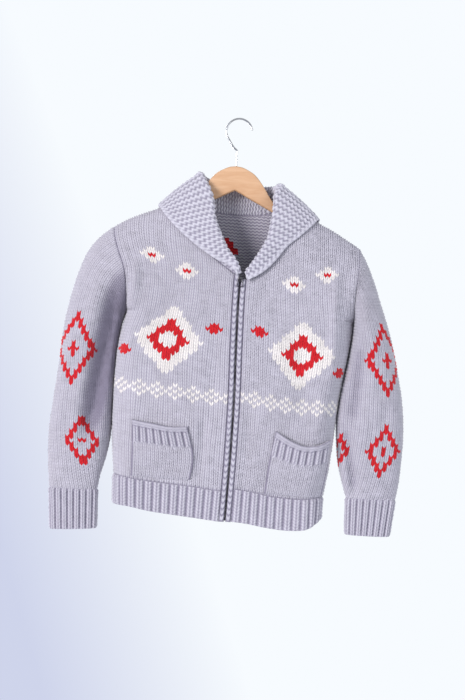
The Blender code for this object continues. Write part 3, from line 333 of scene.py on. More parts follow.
# Coloured figures, painted in this order: middle wale and row, then nested lozenges of half width
# and half height in stitches and colour (0 ground, 1 cream, 2 red).
SMALL = [(2.7, 3.6, 1), (0.6, 0.6, 2)]
DOT = [(1.8, 2.6, 2)]
SIDE_LOZENGE = [(4.4, 6.4, 2), (2.4, 3.4, 1)]
UPPER_ARM = [(6.2, 11.0, 2), (4.4, 8.2, 0), (1.5, 2.6, 2)]
LOWER_ARM = [(4.2, 8.4, 2), (2.6, 5.8, 0), (0.9, 1.6, 2)]
REAR_ARM = [(6.2, 10.5, 2), (4.2, 7.6, 0), (1.5, 2.6, 2)]
FRONT_FIGURES = [(13.5, 45, [(8.0, 11.5, 1), (4.6, 7.0, 2), (2.2, 3.6, 1)]), (3.5, 40, DOT),
                 (23.5, 50, DOT), (7.5, 71, SMALL), (15.5, 67, SMALL)]
FIGURES = {
    "left_front": FRONT_FIGURES,
    "right_front": FRONT_FIGURES,
    "back_panel": [(29, 46, [(14.0, 17.0, 1), (10.0, 12.5, 2), (8.0, 10.0, 0), (4.2, 5.5, 1)]),
                   (9, 46, SIDE_LOZENGE), (49, 46, SIDE_LOZENGE), (9, 77, SMALL[:1]),
                   (26, 75.7, [(2.6, 4.2, 2)]), (43, 77, SMALL[:1])],
    "left_sleeve": [(18.0, 45, UPPER_ARM), (14.5, 16, LOWER_ARM), (35.5, 46, REAR_ARM)],
    "right_sleeve": [(18.0, 45, UPPER_ARM), (18.0, 16, LOWER_ARM),
                     (7.0, 16, [(2.6, 5.6, 2), (1.0, 2.8, 0)]), (35.5, 46, REAR_ARM)],
}
# Borders of small crosses, four stitches apart: piece, middle row, colour.
BORDERS = {"left_front": (29, 1), "right_front": (29, 1), "back_panel": (24, 1)}


# ---------------------------------------------------------------- curves and surfaces
def smooth(rows, at):
    """Cubic through a table's rows, keyed by its first column; a row's slope is its neighbours'."""
    rows = np.asarray(rows, float)
    keys, values = rows[:, 0], rows[:, 1:]
    at = np.asarray(at, float)
    slopes = np.gradient(values, keys, axis=0)
    i = np.clip(np.searchsorted(keys, at) - 1, 0, len(keys) - 2)
    step = keys[i + 1] - keys[i]
    f = np.clip((at - keys[i]) / step, 0.0, 1.0)[..., None]
    step = step[..., None]
    out = ((2 * f**3 - 3 * f**2 + 1) * values[i] + (f**3 - 2 * f**2 + f) * step * slopes[i]
           + (3 * f**2 - 2 * f**3) * values[i + 1] + (f**3 - f**2) * step * slopes[i + 1])
    return out[..., 0] if values.shape[1] == 1 else out


def along(points, shares):
    """Points at shares of the length of the smooth curve through the listed points."""
    points = np.asarray(points, float)
    steps = np.linalg.norm(np.diff(points, axis=0), axis=1)
    keys = np.concatenate([[0], np.cumsum(steps)])
    return smooth(np.column_stack([keys, points]), np.asarray(shares) * keys[-1])


def runs(paths):
    """Length travelled along each path of an array whose first axis runs along the paths."""
    steps = np.linalg.norm(np.diff(paths, axis=0), axis=-1)
    return np.concatenate([np.zeros((1,) + steps.shape[1:]), np.cumsum(steps, axis=0)])


def stretch(line, shares):
    """Rows at shares of the length of a line, whose first three columns are its points."""
    keys = runs(line[:, :3])
    return np.column_stack([np.interp(shares * keys[-1], keys, col) for col in line.T])


def arch(share):
    """Quarter of a circle: 0 at 0, upright there, and 1 from 1 on."""
    return np.sqrt(1 - (1 - np.clip(share, 0, 1)) ** 2)


def ease(share):
    """Smooth step: 3 s squared less 2 s cubed, between 0 and 1."""
    share = np.clip(share, 0, 1)
    return share * share * (3 - 2 * share)


def unit(vectors):
    return vectors / np.maximum(np.linalg.norm(vectors, axis=-1, keepdims=True), 1e-9)


def circle(count):
    """Angles of a full turn in equal steps."""
    return np.linspace(0, 2 * math.pi, count + 1)[:-1]


def edge_x(side, z):
    return smooth(EDGE[side], z)


def shoulder_z(x):
    return smooth(SHOULDER, x)


def zip_x(z):
    return smooth(ZIP_LINE, z)


def side_factor(side, x, z):
    """Share of the full depth that the side edge leaves: an arch below the underarm, 1 above it."""
    opened = arch((z - UNDERARM[side]) / UNDERARM_ROLL)
    inside = SIGN[side] * (edge_x(side, z) - x)
    return opened + (1 - opened) * arch(inside / SIDE_ROLL)


def sway(x, z):
    """Sum of long sine waves across the cloth."""
    return sum(h * np.sin(2 * math.pi * (a * x + b * z) * MM + p) for h, a, b, p in SWAY)


def fold_height(piece, face, x, z):
    """Sum of ridges and troughs: each a bell across its line, faded at both ends."""
    total = np.zeros_like(x)
    for name, side, x0, z0, x1, z1, width, height in FOLDS:
        if (name, side) != (piece, face):
            continue
        run = np.array([x1 - x0, z1 - z0], float)
        share = ((x - x0) * run[0] + (z - z0) * run[1]) / (run @ run)
        away = ((x - x0) * run[1] - (z - z0) * run[0]) / np.linalg.norm(run)
        fade = ease((share + 0.12) / 0.3) * ease((1.12 - share) / 0.3)
        total += height * fade * np.exp(-(away / width) ** 2)
    return total


def body_y(x, z, face):
    """Depth of front or back: half depth and folds times the arches under the shoulder line and
    inside both side edges."""
    x, z = np.asarray(x, float), np.asarray(z, float)
    depths = smooth(DEPTH, z)
    full = depths[..., 0] if face == "front" else depths[..., 1]
    drop = (shoulder_z(x) - z) * math.cos(LEAN_OF_SHOULDER)
    shape = arch(drop / SHOULDER_ROLL) * side_factor("left", x, z) * side_factor("right", x, z)
    return FACING[face] * shape * (full + fold_height("body", face, x, z) + sway(x, z))


def body_normal(x, z, face):
    """Outward normal of front or back: from the differences of the depth 0.4 mm either way."""
    reach = 0.4
    across = (body_y(x + reach, z, face) - body_y(x - reach, z, face)) / (2 * reach)
    upward = (body_y(x, z + reach, face) - body_y(x, z - reach, face)) / (2 * reach)
    return unit(np.stack([-across, np.ones_like(x), -upward], axis=-1)) * FACING[face]


def patch(bottom, top, left, right):
    """Coons patch: the blend of left and right plus that of bottom and top, less the corners'."""
    s = ((runs(bottom) / runs(bottom)[-1] + runs(top) / runs(top)[-1]) / 2)[None, :, None]
    t = ((runs(left) / runs(left)[-1] + runs(right) / runs(right)[-1]) / 2)[:, None, None]
    corners = ((1 - s) * (1 - t) * bottom[0] + s * (1 - t) * bottom[-1]
               + (1 - s) * t * top[0] + s * t * top[-1])
    return ((1 - s) * left[:, None] + s * right[:, None] + (1 - t) * bottom[None] + t * top[None]
            - corners)


def grid_normals(grid, closed=False):
    """Unit normals of a grid of points: its rows' direction crossed with its columns'."""
    if closed:
        across = np.roll(grid, -1, axis=1) - np.roll(grid, 1, axis=1)
    else:
        across = np.gradient(grid, axis=1)
    return unit(np.cross(across, np.gradient(grid, axis=0)))


def outward_normals(grid, face=None):
    """Normals of a grid, turned to its face; without a face the grid is a tube, whose last column
    is its first, and they are turned away from its middle."""
    if face is None:
        normals = grid_normals(grid[:, :-1], closed=True)
        normals = np.concatenate([normals, normals[:, :1]], axis=1)
        away = grid - grid.mean(axis=1, keepdims=True)
    else:
        normals, away = grid_normals(grid), np.array([0.0, FACING[face], 0.0])
    return normals * np.sign((normals * away).sum(axis=-1).mean())


# ---------------------------------------------------------------- stitches
def knit_settings():
    return bpy.context.scene.cardigan_knit


def wale_height():
    return knit_settings().row / MM


def lay_rows(fields, paths, reach):
    """Values of fields at given lengths along each column of a grid of paths."""
    travelled = runs(paths)
    out = np.empty(reach.shape + (fields.shape[-1],))
    for column, k in np.ndindex(fields.shape[1:]):
        out[:, column, k] = np.interp(reach[:, column], travelled[:, column], fields[:, column, k])
    return out


def lay(paths, normals, reach):
    """Points and unit normals of the knitting at given lengths along a grid of paths."""
    laid = lay_rows(np.concatenate([paths, normals], axis=-1), paths, reach)
    return laid[..., :3], unit(laid[..., 3:])


def row_reach(paths, pitch, lean, margin=None):
    """Length along each column at which each point of the knitting lies, four to a row: the row
    plus the lean of the stitch's legs, held between the column's ends. The lean fades where the
    margin, a distance to a seam at each point of the paths, runs out. Also each column's length."""
    total = runs(paths)[-1]
    count = 4 * (int(np.ceil(total.max() / pitch)) + 1) + 1
    phase = np.repeat(np.arange(count)[:, None] / 4 - 1, len(total), axis=1)
    wale = np.arange(len(total)) / 4
    wander = drift(phase, wale[None]) * ease(np.minimum(wale, wale[::-1]) / WANDER_FADE)
    share = 1.0
    if margin is not None:
        level = np.clip(phase * pitch, 0, total[None])
        share = ease(lay_rows(margin[..., None], paths, level)[..., 0] / LEAN_FADE)
    phase = phase + (lean[None] + wander) * share
    phase[0], phase[-1] = -1, count
    return np.clip(phase * pitch, 0, total[None]), total


def drift(row, wale):
    """Slow wander of the stitches of hand knitting, in stitches: a few long crossing sine waves."""
    return 0.10 * (np.sin(0.33 * wale + 0.11 * row) + np.sin(0.71 * wale - 0.23 * row + 1.7)
                   + 0.7 * np.sin(1.31 * wale + 0.37 * row + 0.6))


def uneven(rows, columns, seed, spread):
    """Random factors near 1, one for each four by four points."""
    rng = np.random.default_rng(seed)
    size = (rows // 4 + 1, columns // 4 + 1)
    factors = 1 + spread * np.clip(rng.normal(size=size), -2, 2)
    return np.repeat(np.repeat(factors, 4, axis=0), 4, axis=1)[:rows, :columns]


def strand(rows):
    """Roundness of a strand of yarn across each row of stitches: a half sine."""
    return np.sin(math.pi * (np.arange(rows) % 4) / 4) ** 0.8


def stocking(rows, columns, seed):
    """Height and groove of stocking stitch: two strands side by side in each wale, with a furrow
    between and beside them."""
    k = np.arange(columns) % 4
    across = np.array([-0.9, 0.95, -0.7, 0.95])[k][None]
    plump = strand(rows)[:, None]
    height = np.where(across > 0, across * (0.3 + 0.7 * plump), across + 0.1 * plump)
    # Groove: painted shade in the furrows beside the strands and between the rows.
    furrow = np.array([0.75, 0.0, 0.62, 0.0])[k][None]
    groove = furrow + np.where(across > 0, 0.35 - 0.35 * plump, 0)
    return height * uneven(rows, columns, seed, 0.2) * knit_settings().relief / MM, groove


def leg_lean(columns):
    """Rise of the two legs of each wale from its middle to its sides, in rows."""
    place = (np.arange(columns) % 4) / 4
    return knit_settings().lean * np.abs(2 * place - 1)


# A rib's eight points: place across it, height, and painted shade (groove), darkest in the sunk
# wale.
RIB_PLACES = np.array([0, 0.09, 0.18, 0.27, 0.38, 0.58, 0.78, 0.89])
RIB_PROFILE = np.array([-0.8, -1.4, -0.8, 1.2, 2.7, 1.1, 2.7, 1.2])
RIB_GROOVE = np.array([0.95, 1.1, 0.95, 0.35, 0.05, 0.8, 0.05, 0.35])


def rib_shares(count):
    """Places of the eight points of each rib along a band, and the band's end."""
    return np.append((np.arange(count)[:, None] + RIB_PLACES[None]).ravel() / count, 1.0)


def rib(fade, seed):
    """Height and groove of ribbing: a narrow sunk wale, then a plump one whose two strands stand
    out. It flattens as the fade, a share for each point, goes to 0."""
    rows, columns = fade.shape
    k = np.arange(columns) % 8
    profile = RIB_PROFILE[k][None]
    legs = np.isin(k, (4, 6))[None]
    low = (k <= 2)[None]
    plump = strand(rows)[:, None]
    swell = np.where(legs, 0.7 * plump - 0.3, np.where(low, 0.35 * plump, 0.2 * plump))
    height = profile * (0.4 + 0.6 * fade) + swell * fade
    groove = RIB_GROOVE[k][None] + np.where(low, -0.15 * plump, 0.35 - 0.35 * plump)
    return height * (1 + fade * (uneven(rows, columns, seed, 0.1) - 1)), groove


def rib_lean(count):
    """Rise of the plump wale's legs, and of the sunk wale between, in rows."""
    k = np.arange(8 * count + 1) % 8
    away = np.abs(np.append(RIB_PLACES, 1)[k] - 0.58) / 0.42
    return knit_settings().lean * np.where(k <= 2, 0.9, np.clip(away, 0, 1))


def moss(rows, columns, seed):
    """Height and groove of the collar's moss stitch, in square cells of CELL points: ridges from
    edge to seam, swung aside row by row and pinched between the rows into slanting pips."""
    v, u = np.arange(rows)[:, None], np.arange(columns)[None]
    swing = np.sin(math.pi * (v + 0.25 * (u % CELL)) / (CELL / 2))
    wave = 0.45 * np.cos(math.pi * u / (CELL / 2))
    wave = wave + 0.8 * swing * np.sin(math.pi * u / (CELL / 2)) - 0.25 * (1 - np.abs(swing))
    height = 1.5 * ease((wave + 0.6) / 1.3) - 0.5
    height = height * uneven(rows, columns, seed, 0.16) * knit_settings().relief / MM
    # Groove: painted shade where the cells sink between the pips.
    return height, 0.85 * np.clip((0.15 - wave) / 0.9, 0, 1)


# ---------------------------------------------------------------- meshes
def group_of(name):
    """Collection of that name under the scene."""
    if name not in bpy.data.collections:
        bpy.context.scene.collection.children.link(bpy.data.collections.new(name))
    return bpy.data.collections[name]


def face_outwards(mesh):
    """Turns a closed mesh right side out if its volume comes out negative."""
    mesh.calc_loop_triangles()
    corners = np.empty(len(mesh.loop_triangles) * 3, np.int32)
    mesh.loop_triangles.foreach_get("vertices", corners)
    points = np.empty(len(mesh.vertices) * 3)
    mesh.vertices.foreach_get("co", points)
    a, b, c = points.reshape(-1, 3)[corners.reshape(-1, 3)].transpose(1, 0, 2)
    if np.einsum("ij,ij->i", a, np.cross(b, c)).sum() < 0:
        mesh.flip_normals()


def add_piece(name, points, faces, material, slot, replaces=None, body="cardigan", merge=False,
              tones=None, uv=None, marks=()):
    """Mesh object from millimetre points. Tones colour whole faces; uv and marks, which are named
    arrays, belong to points."""
    mesh = bpy.data.meshes.new(name)
    mesh.from_pydata(((np.asarray(points) + STEM) * MM).tolist(), [], faces)
    for label in marks:
        mesh.attributes.new(label, "FLOAT", "POINT").data.foreach_set("value", marks[label])
    if tones is not None:
        sizes = np.empty(len(mesh.polygons), np.int32)
        mesh.polygons.foreach_get("loop_total", sizes)
        colours = np.column_stack([np.repeat(tones, sizes, axis=0), np.ones(sizes.sum())])
        layer = mesh.color_attributes.new("yarn_colour", "FLOAT_COLOR", "CORNER")
        layer.data.foreach_set("color", colours.ravel())
    if uv is not None:
        corners = np.empty(len(mesh.loops), np.int32)
        mesh.loops.foreach_get("vertex_index", corners)
        mesh.uv_layers.new(name="stitches").data.foreach_set("uv", uv[corners].ravel())
    if merge:
        work = bmesh.new()
        work.from_mesh(mesh)
        bmesh.ops.remove_doubles(work, verts=work.verts, dist=MERGE_WITHIN)
        work.to_mesh(mesh)
        work.free()
    mesh.update()
    face_outwards(mesh)
    mesh.shade_smooth()
    mesh.materials.append(material)
    piece = bpy.data.objects.new(name, mesh)
    group_of("cardigan").objects.link(piece)
    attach(piece, body)
    if replaces:
        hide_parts(replaces)
    return piece


def wall_faces(shape, inner_shape, closed):
    """Faces of a wall: quads of the outer grid, quads of the inner grid turned over, and at each
    open edge one polygon for each inner step and the outer steps beside it. The sides of a closed
    wall meet."""
    index = np.arange(shape[0] * shape[1]).reshape(shape)
    inside = shape[0] * shape[1] + np.arange(inner_shape[0] * inner_shape[1]).reshape(inner_shape)
    outer = np.stack([index[:-1, :-1], index[:-1, 1:], index[1:, 1:], index[1:, :-1]], -1)
    inner = np.stack([inside[1:, :-1], inside[1:, 1:], inside[:-1, 1:], inside[:-1, :-1]], -1)
    step = (shape[0] - 1) // (inner_shape[0] - 1)
    edges = [(index[0], inside[0], True), (index[-1], inside[-1], False),
             (index[:, 0], inside[:, 0], False), (index[:, -1], inside[:, -1], True)]
    rims = []
    for line, low, turned in edges[:2] if closed else edges:
        fine = [line[k:len(line) - step + k:step] for k in range(step + 1)]
        strip = np.stack([*fine, low[1:], low[:-1]], axis=1)
        rims.append(strip[:, ::-1] if turned else strip)
    return outer.reshape(-1, 4), inner.reshape(-1, 4), np.concatenate(rims)


def knit_wall(replaces, kind, surface, pattern, slot="yarn", closed=False,
              lining=None):
    """Knitted wall: the outer grid stands at the surface's points, moved out along its normals by
    the pattern's height. The inner grid is every fourth point moved in by the wall, or every point
    with the height of its own lining. It is declared as a sheet with the size that its rows and
    wales have, wider where a rib or a rounded band has drawn it in."""
    (base, normals), (height, groove) = surface, pattern
    rows, columns = height.shape
    outer = base + normals * height[..., None]
    step = 4 if lining is None else 1
    inner = base - normals * WALL
    if lining is not None:
        inner = inner - normals * lining[0][..., None]
    inner = inner[::step, ::step]
    faces, inner_faces, rims = wall_faces(height.shape, inner.shape[:2], closed)
    palette = palette_of(slot)
    tones = palette[chart_of(rows, columns, replaces)[:rows // 4, :columns // 4]]
    fine = np.repeat(np.repeat(tones, 4, axis=0), 4, axis=1).reshape(-1, 3)
    tones = np.concatenate([fine, fine if step == 1 else tones.reshape(-1, 3),
                            np.repeat(palette[:1], len(rims), axis=0)])
    uv = np.stack(np.meshgrid(np.arange(columns) / 4, np.arange(rows) / 4), axis=-1)
    # The groove and purl marks carry painted shade: the grooves of the outer side and the hollows
    # of the inner side darken the wool.
    groove = np.clip(groove + 0 * height, 0, 1)
    under = 0 * inner[..., 0] + INNER_GROOVE if lining is None else np.clip(lining[1], 0, 1)
    purl = np.repeat([0.0, INNER_PURL if lining is None else 0.0], [groove.size, under.size])
    points = np.concatenate([outer.reshape(-1, 3), inner.reshape(-1, 3)])
    faces = faces.tolist() + inner_faces.tolist() + rims.tolist()
    uv = np.concatenate([uv.reshape(-1, 2), uv[::step, ::step].reshape(-1, 2)])
    marks = {"groove": np.append(groove, under), "purl": purl}
    piece = add_piece(f"{replaces}_{kind}", points, faces, wool(slot), slot, replaces, merge=True,
                      tones=tones, uv=uv, marks=marks)


def chart_of(rows, columns, name):
    """Colour of each stitch: lozenges, where the shares of half width and half height add up to
    no more than one, and a border of small crosses."""
    chart = np.zeros((rows // 4 + 1, columns // 4 + 1), int)
    row, wale = np.indices(chart.shape)
    if name in BORDERS:
        middle, tone = BORDERS[name]
        up, over = np.abs(row - middle), np.abs((wale + 2) % 4 - 2)
        chart[((up <= 2) & (up + over == 2)) | ((up == 0) & (over == 0))] = tone
    for at_wale, at_row, sizes in FIGURES.get(name, ()):
        for wide, high, tone in sizes:
            chart[np.abs(wale - at_wale) / wide + np.abs(row - at_row) / high <= 1] = tone
    return chart


def palette_of(slot):
    """Colours of a slot's ground, of cream and of red, in the order of the charts' numbers."""
    yarns = bpy.context.scene.cardigan_yarns
    ground = yarns.collar if slot == "collar_yarn" else yarns.body
    return np.array([ground[:], yarns.cream[:], yarns.red[:]])


def near(distance, reach=SEAM_REACH):
    """Nearness to a seam: 1 on it, 0 from the given reach on."""
    return 1 - ease(distance / reach)


# ---------------------------------------------------------------- panels
def spread_wales(levels, start, end, rolls, columns):
    """x of each wale at each level: equal lengths across a section as deep as the side arches."""
    share = (1 - np.cos(math.pi * np.linspace(0, 1, 161))) / 2
    x = start[:, None] + (end - start)[:, None] * share
    z = levels[:, None] + 0 * x
    depth = np.full_like(x, SECTION_DEPTH)
    for side in rolls:
        opened = ease((z - UNDERARM[side] + 90) / 230)
        depth = depth * (opened + (1 - opened) * arch(np.abs(edge_x(side, z) - x) / SIDE_ROLL))
    travelled = runs(np.stack([x, depth], axis=-1).transpose(1, 0, 2)).T
    shares = np.linspace(0, 1, columns)[None]
    wander = drift(levels[:, None] / wale_height() + 9, np.arange(columns)[None] / 4)
    shares = shares + wander / (columns / 4) * ease(10 * shares) * ease(10 * (1 - shares))
    return np.array([np.interp(part * run[-1], run, row)
                     for part, run, row in zip(shares, travelled, x)])


def cut_to_outline(x, z, low, high):
    """Each wale kept between the lower and upper outline: its part beyond is drawn to the cut."""
    steps = np.arange(len(z), dtype=float)
    cut = np.empty(x.shape + (2,))
    for column in range(x.shape[1]):
        line = x[:, column]
        first = np.interp(0, np.maximum.accumulate(z - low(line)), steps)
        last = np.interp(0, np.maximum.accumulate(z - high(line)), steps)
        place = np.clip(steps, first, last)
        cut[:, column, 0] = np.interp(place, steps, line)
        cut[:, column, 1] = np.interp(place, steps, z)
    return cut


def shoulder_line(start, end, count):
    """Points x, z of the shoulders' top between two x."""
    x = np.linspace(start, end, count)
    return np.column_stack([x, shoulder_z(x)])


def panel(part, levels, edges, rolls, wales, outline):
    """One panel: wales spread between its two edges and cut at hem seam, neck and shoulders, with
    its stitches sunk along every side."""
    name, face = PANELS[part], "back" if part == "back" else "front"
    x = spread_wales(levels, *edges, rolls, 4 * wales + 1)
    outline = outline[np.argsort(outline[:, 0], kind="stable")]
    cut = cut_to_outline(x, levels, lambda v: smooth(HEM_SEAM[part], v),
                         lambda v: np.interp(v, outline[:, 0], outline[:, 1]))
    flat = np.dstack([cut[..., 0], body_y(cut[..., 0], cut[..., 1], face), cut[..., 1]])
    reach, total = row_reach(flat, wale_height(), leg_lean(x.shape[1]))
    laid = lay_rows(cut, flat, reach)
    x, z = laid[..., 0], laid[..., 1]
    base = np.dstack([x, body_y(x, z, face), z])
    height, groove = stocking(*reach.shape, SEEDS[name])
    step = np.arange(x.shape[1])[None] * COLUMN_STEP
    away = np.minimum(np.minimum(reach, total - reach), np.minimum(step, step[:, ::-1]))
    height = height * ease(away / SEAM_FADE) - 1.0 * near(away)
    # Painted shade along every side of the panel, where its seams sink.
    knit_wall(name, "knit", (base, body_normal(x, z, face)),
              (height, groove + 0.6 * near(away, GROOVE_REACH)))


def front_panel(side):
    """One front, from its side edge to the zip band."""
    levels = np.arange(PANEL_FOOT["front"], PANEL_TOP, LEVEL_STEP)
    edges = edge_x(side, levels), zip_x(levels) + SIGN[side] * BAND_REACH
    neck = along(NECKLINE[side], np.linspace(0, 1, 161))
    shoulder = shoulder_line(EDGE[side][-1][1], NECKLINE[side][-1][0], 60)[:-1]
    panel(side, levels, edges, [side], FRONT_WALES, np.concatenate([shoulder, neck[::-1]]))


def back_panel():
    """The back, from side edge to side edge."""
    levels = np.arange(PANEL_FOOT["back"], PANEL_TOP, LEVEL_STEP)
    edges = edge_x("left", levels), edge_x("right", levels)
    neck = along(BACK_NECK, np.linspace(0, 1, 121))
    left = shoulder_line(EDGE["left"][-1][1], BACK_NECK[0][0], 50)[:-1]
    right = shoulder_line(BACK_NECK[-1][0], EDGE["right"][-1][1], 50)[1:]
    panel("back", levels, edges, SIDES, BACK_WALES, np.concatenate([left, neck, right]))


# ---------------------------------------------------------------- sleeves and cuffs
def ring_points(row, turns):
    """Ring of a sleeve: a squared ellipse between its inner and outer points."""
    ox, oz, ix, iz, front, back = row
    swing, lift = np.cos(turns), np.sin(turns)
    share = (1 - np.sign(swing) * np.abs(swing) ** SLEEVE_SQUARENESS) / 2
    depth = np.where(lift > 0, front, back)
    y = -np.sign(lift) * depth * np.abs(lift) ** SLEEVE_SQUARENESS
    return np.column_stack([ix + (ox - ix) * share, y, iz + (oz - iz) * share])


def armhole_loop(side, turns):
    """Armhole at each turn, up the front and down the back."""
    tip = EDGE[side][-1][0]
    z = UNDERARM[side] + (tip - UNDERARM[side]) * (1 - np.cos(turns)) / 2
    x = edge_x(side, z)
    y = np.where(turns <= math.pi, body_y(x, z, "front"), body_y(x, z, "back"))
    return np.column_stack([x, y, z])


def sleeve_rings(side, stations, turns):
    """Rings from cuff (1) to armhole (0): squared ellipses blended into the armhole and folded."""
    table = smooth(SLEEVE[side], stations)
    grid = np.array([ring_points(row, turns) for row in table])
    first = ring_points(smooth(SLEEVE[side], np.array([0.0]))[0], turns)
    remain = (1 - ease(stations / SLEEVE_BLEND))[:, None, None]
    grid += remain * (armhole_loop(side, turns) - first)
    for face, chosen in (("front", turns <= math.pi), ("back", turns > math.pi)):
        push = fold_height(side + "_sleeve", face, grid[..., 0], grid[..., 2])
        push = (push + sway(grid[..., 0], grid[..., 2])) * np.abs(np.sin(turns))
        grid[..., 1] += np.where(chosen, FACING[face] * push * (1 - remain[..., 0]), 0)
    return grid


def sleeve(side):
    """Sleeve: wales at equal steps from the line down its outer side, taken in at the inner seam,
    beside which shade is painted into the wool's colour, as it is in the troughs of the deep folds."""
    name = side + "_sleeve"
    stations = np.linspace(1, 0, 170)
    rings = sleeve_rings(side, stations, np.linspace(0, 2 * math.pi, RING_STEPS + 1))
    normals = outward_normals(rings)
    columns = 4 * SLEEVE_WALES + 1
    steps = (np.arange(columns) - 2 * SLEEVE_WALES) * knit_settings().wale / MM / 4
    travelled = runs(rings.transpose(1, 0, 2))
    travelled = (travelled - travelled[RING_STEPS // 2]).T
    half = np.abs(travelled[:, [0, -1]])
    widest = np.maximum.accumulate(half, axis=0)
    fields = np.empty((len(stations), columns, 7))
    for k, run in enumerate(travelled):
        narrow = np.where(steps < 0, *(half[k] / widest[k]))
        place = np.clip(steps * narrow, run[0], run[-1])
        lines = np.column_stack([rings[k], normals[k]]).T
        fields[k, :, :6] = np.column_stack([np.interp(place, run, line) for line in lines])
        fields[k, :, 6] = np.minimum(steps + widest[k, 0], widest[k, 1] - steps)
    margin = np.clip(fields[..., 6], 0, None)
    reach, total = row_reach(fields[..., :3], wale_height(), leg_lean(columns), margin)
    laid = lay_rows(fields, fields[..., :3], reach)
    z, margin, to_armhole = laid[..., 2], np.clip(laid[..., 6], 0, None), total - reach
    fade = ease(np.minimum(reach, to_armhole) / SEAM_FADE) * ease(margin / SEAM_FADE)
    height, groove = stocking(*reach.shape, SEEDS[name])
    height = height * fade - 1.2 * near(to_armhole) - 0.6 * near(margin)
    # Painted shade at the armhole seam and along the inner seam.
    groove = np.where(margin > 0, groove, 0.5) + 0.6 * near(to_armhole, GROOVE_REACH)
    # Painted shade on the sleeve's inner side beside the underarm seam, between the lower and upper
    # heights.
    underarm_shade = (ease((SHADE_REACH - margin) / SHADE_FADE) * ease((z - SHADE_LOW) / LOW_FADE)
              * ease((SHADE_HIGH - z) / HIGH_FADE))
    groove = groove + UNDERARM_SHADE[side] * underarm_shade
    # Painted shade in the troughs of the deep sunk folds on the sleeve's front.
    sunk = -fold_height(name, "front", laid[..., 0], z) * (laid[..., 4] < 0)
    groove = groove + 0.6 * ease((sunk - 3) / 14)
    on_seam = margin < ON_SEAM
    laid = np.where(on_seam[..., None], laid[:, :1], laid)
    height = np.where(on_seam, height[:, :1], height)
    knit_wall(name, "knit", (laid[..., :3], unit(laid[..., 3:6])), (height, groove),
              closed=True)


def rib_band(name, lower, upper, steps, count, face, rests_on):
    """Ribbed band from a lower to an upper line of points, in so many steps: its ribs fade at both,
    and it is sunk at the seam along the upper one. A band without a face is a tube."""
    lift = np.linspace(0, 1, steps)[:, None, None]
    paths = lower[None] * (1 - lift) + upper[None] * lift
    reach, total = row_reach(paths, wale_height(), rib_lean(count))
    fade = ease(np.minimum(reach, total - reach) / RIB_FADE)
    height, groove = rib(fade, SEEDS["cuffs" if face is None else "hems"])
    height = height - 0.6 * near(total - reach)
    if face is None:
        height[:, -1] = height[:, 0]
    knit_wall(name, "rib", lay(paths, outward_normals(paths, face), reach), (height, groove),
              closed=face is None)


def cuff(side):
    """Cuff: ribs at equal steps round the sleeve's last ring, carried down to the lower edge."""
    turns = np.linspace(0, 2 * math.pi, RING_STEPS + 1)
    top = sleeve_rings(side, np.array([1.0]), turns)[0]
    upper = stretch(np.column_stack([top, turns]), rib_shares(CUFF_RIBS))
    lower = ring_points(CUFF_EDGE[side], upper[:, 3])
    rib_band(side + "_cuff", lower, upper[:, :3], 41, CUFF_RIBS, None, side + "_sleeve")


# ---------------------------------------------------------------- hem
def hem(part):
    """Hem band: ribs at equal steps along the panel's lowest row, down to the lower edge."""
    face = "back" if part == "back" else "front"
    start, end = EDGE["left"][0][1], EDGE["right"][0][1]
    if part == "left":
        end = zip_x(HEM_EDGE["left"][-1][1]) - BAND_REACH
    elif part == "right":
        start = zip_x(HEM_EDGE["right"][0][1]) + BAND_REACH
    seam, lines = HEM_SEAM[part], []
    for rows, x0, x1 in ((HEM_EDGE[part], start, end), (seam, seam[0][0], seam[-1][0])):
        x = x0 + (x1 - x0) * (1 - np.cos(np.linspace(0, math.pi, 241))) / 2
        z = smooth(rows, x)
        line = np.column_stack([x, body_y(x, z, face), z])
        lines.append(stretch(line, rib_shares(HEM_RIBS[part])))
    rib_band(part + "_hem", *lines, 31, HEM_RIBS[part], face, PANELS[part])


# ---------------------------------------------------------------- collar
def clear_of_body(points, clearance, rounds=5):
    """Points moved out along the slope of the body's depth until they are clear of its surface."""
    def fullness(p):
        depths = smooth(DEPTH, p[..., 2])
        full = np.where(p[..., 1] < 0, depths[..., 0], depths[..., 1])
        drop = (shoulder_z(p[..., 0]) - p[..., 2]) * math.cos(LEAN_OF_SHOULDER)
        return np.hypot(p[..., 1] / full, np.clip(1 - drop / SHOULDER_ROLL, 0, None))

    step = 0.05
    for _ in range(rounds):
        here = fullness(points)
        slope = np.stack([(fullness(points + step * axis) - here) / step for axis in np.eye(3)], -1)
        size = np.linalg.norm(slope, axis=-1)
        short = np.clip(clearance - (here - 1) / size, 0, None)
        points = points + (short / size)[..., None] * slope
    return points


def collar_clearance(points):
    """Distance from body to the collar's middle, larger over the shoulders' crest."""
    return WALL / 2 + COLLAR_GAP + CREST_GAP * np.exp(-(points[:, 1] / CREST_REACH) ** 2)


def neck_seam(places):
    """Points and normals of the neck seam at places round the neck."""
    left = along(NECKLINE["left"], np.clip(places, 0, 1))
    back = along(BACK_NECK, np.clip(places - 1, 0, 1))
    right = along(NECKLINE["right"], np.clip(3 - places, 0, 1))
    flat = np.where((places < 1)[:, None], left, np.where((places > 2)[:, None], right, back))
    behind = (places >= 1) & (places <= 2)
    x, z = flat.T
    y = np.where(behind, body_y(x, z, "back"), body_y(x, z, "front"))
    normal = np.where(behind[:, None], body_normal(x, z, "back"), body_normal(x, z, "front"))
    return np.column_stack([x, y, z]), normal


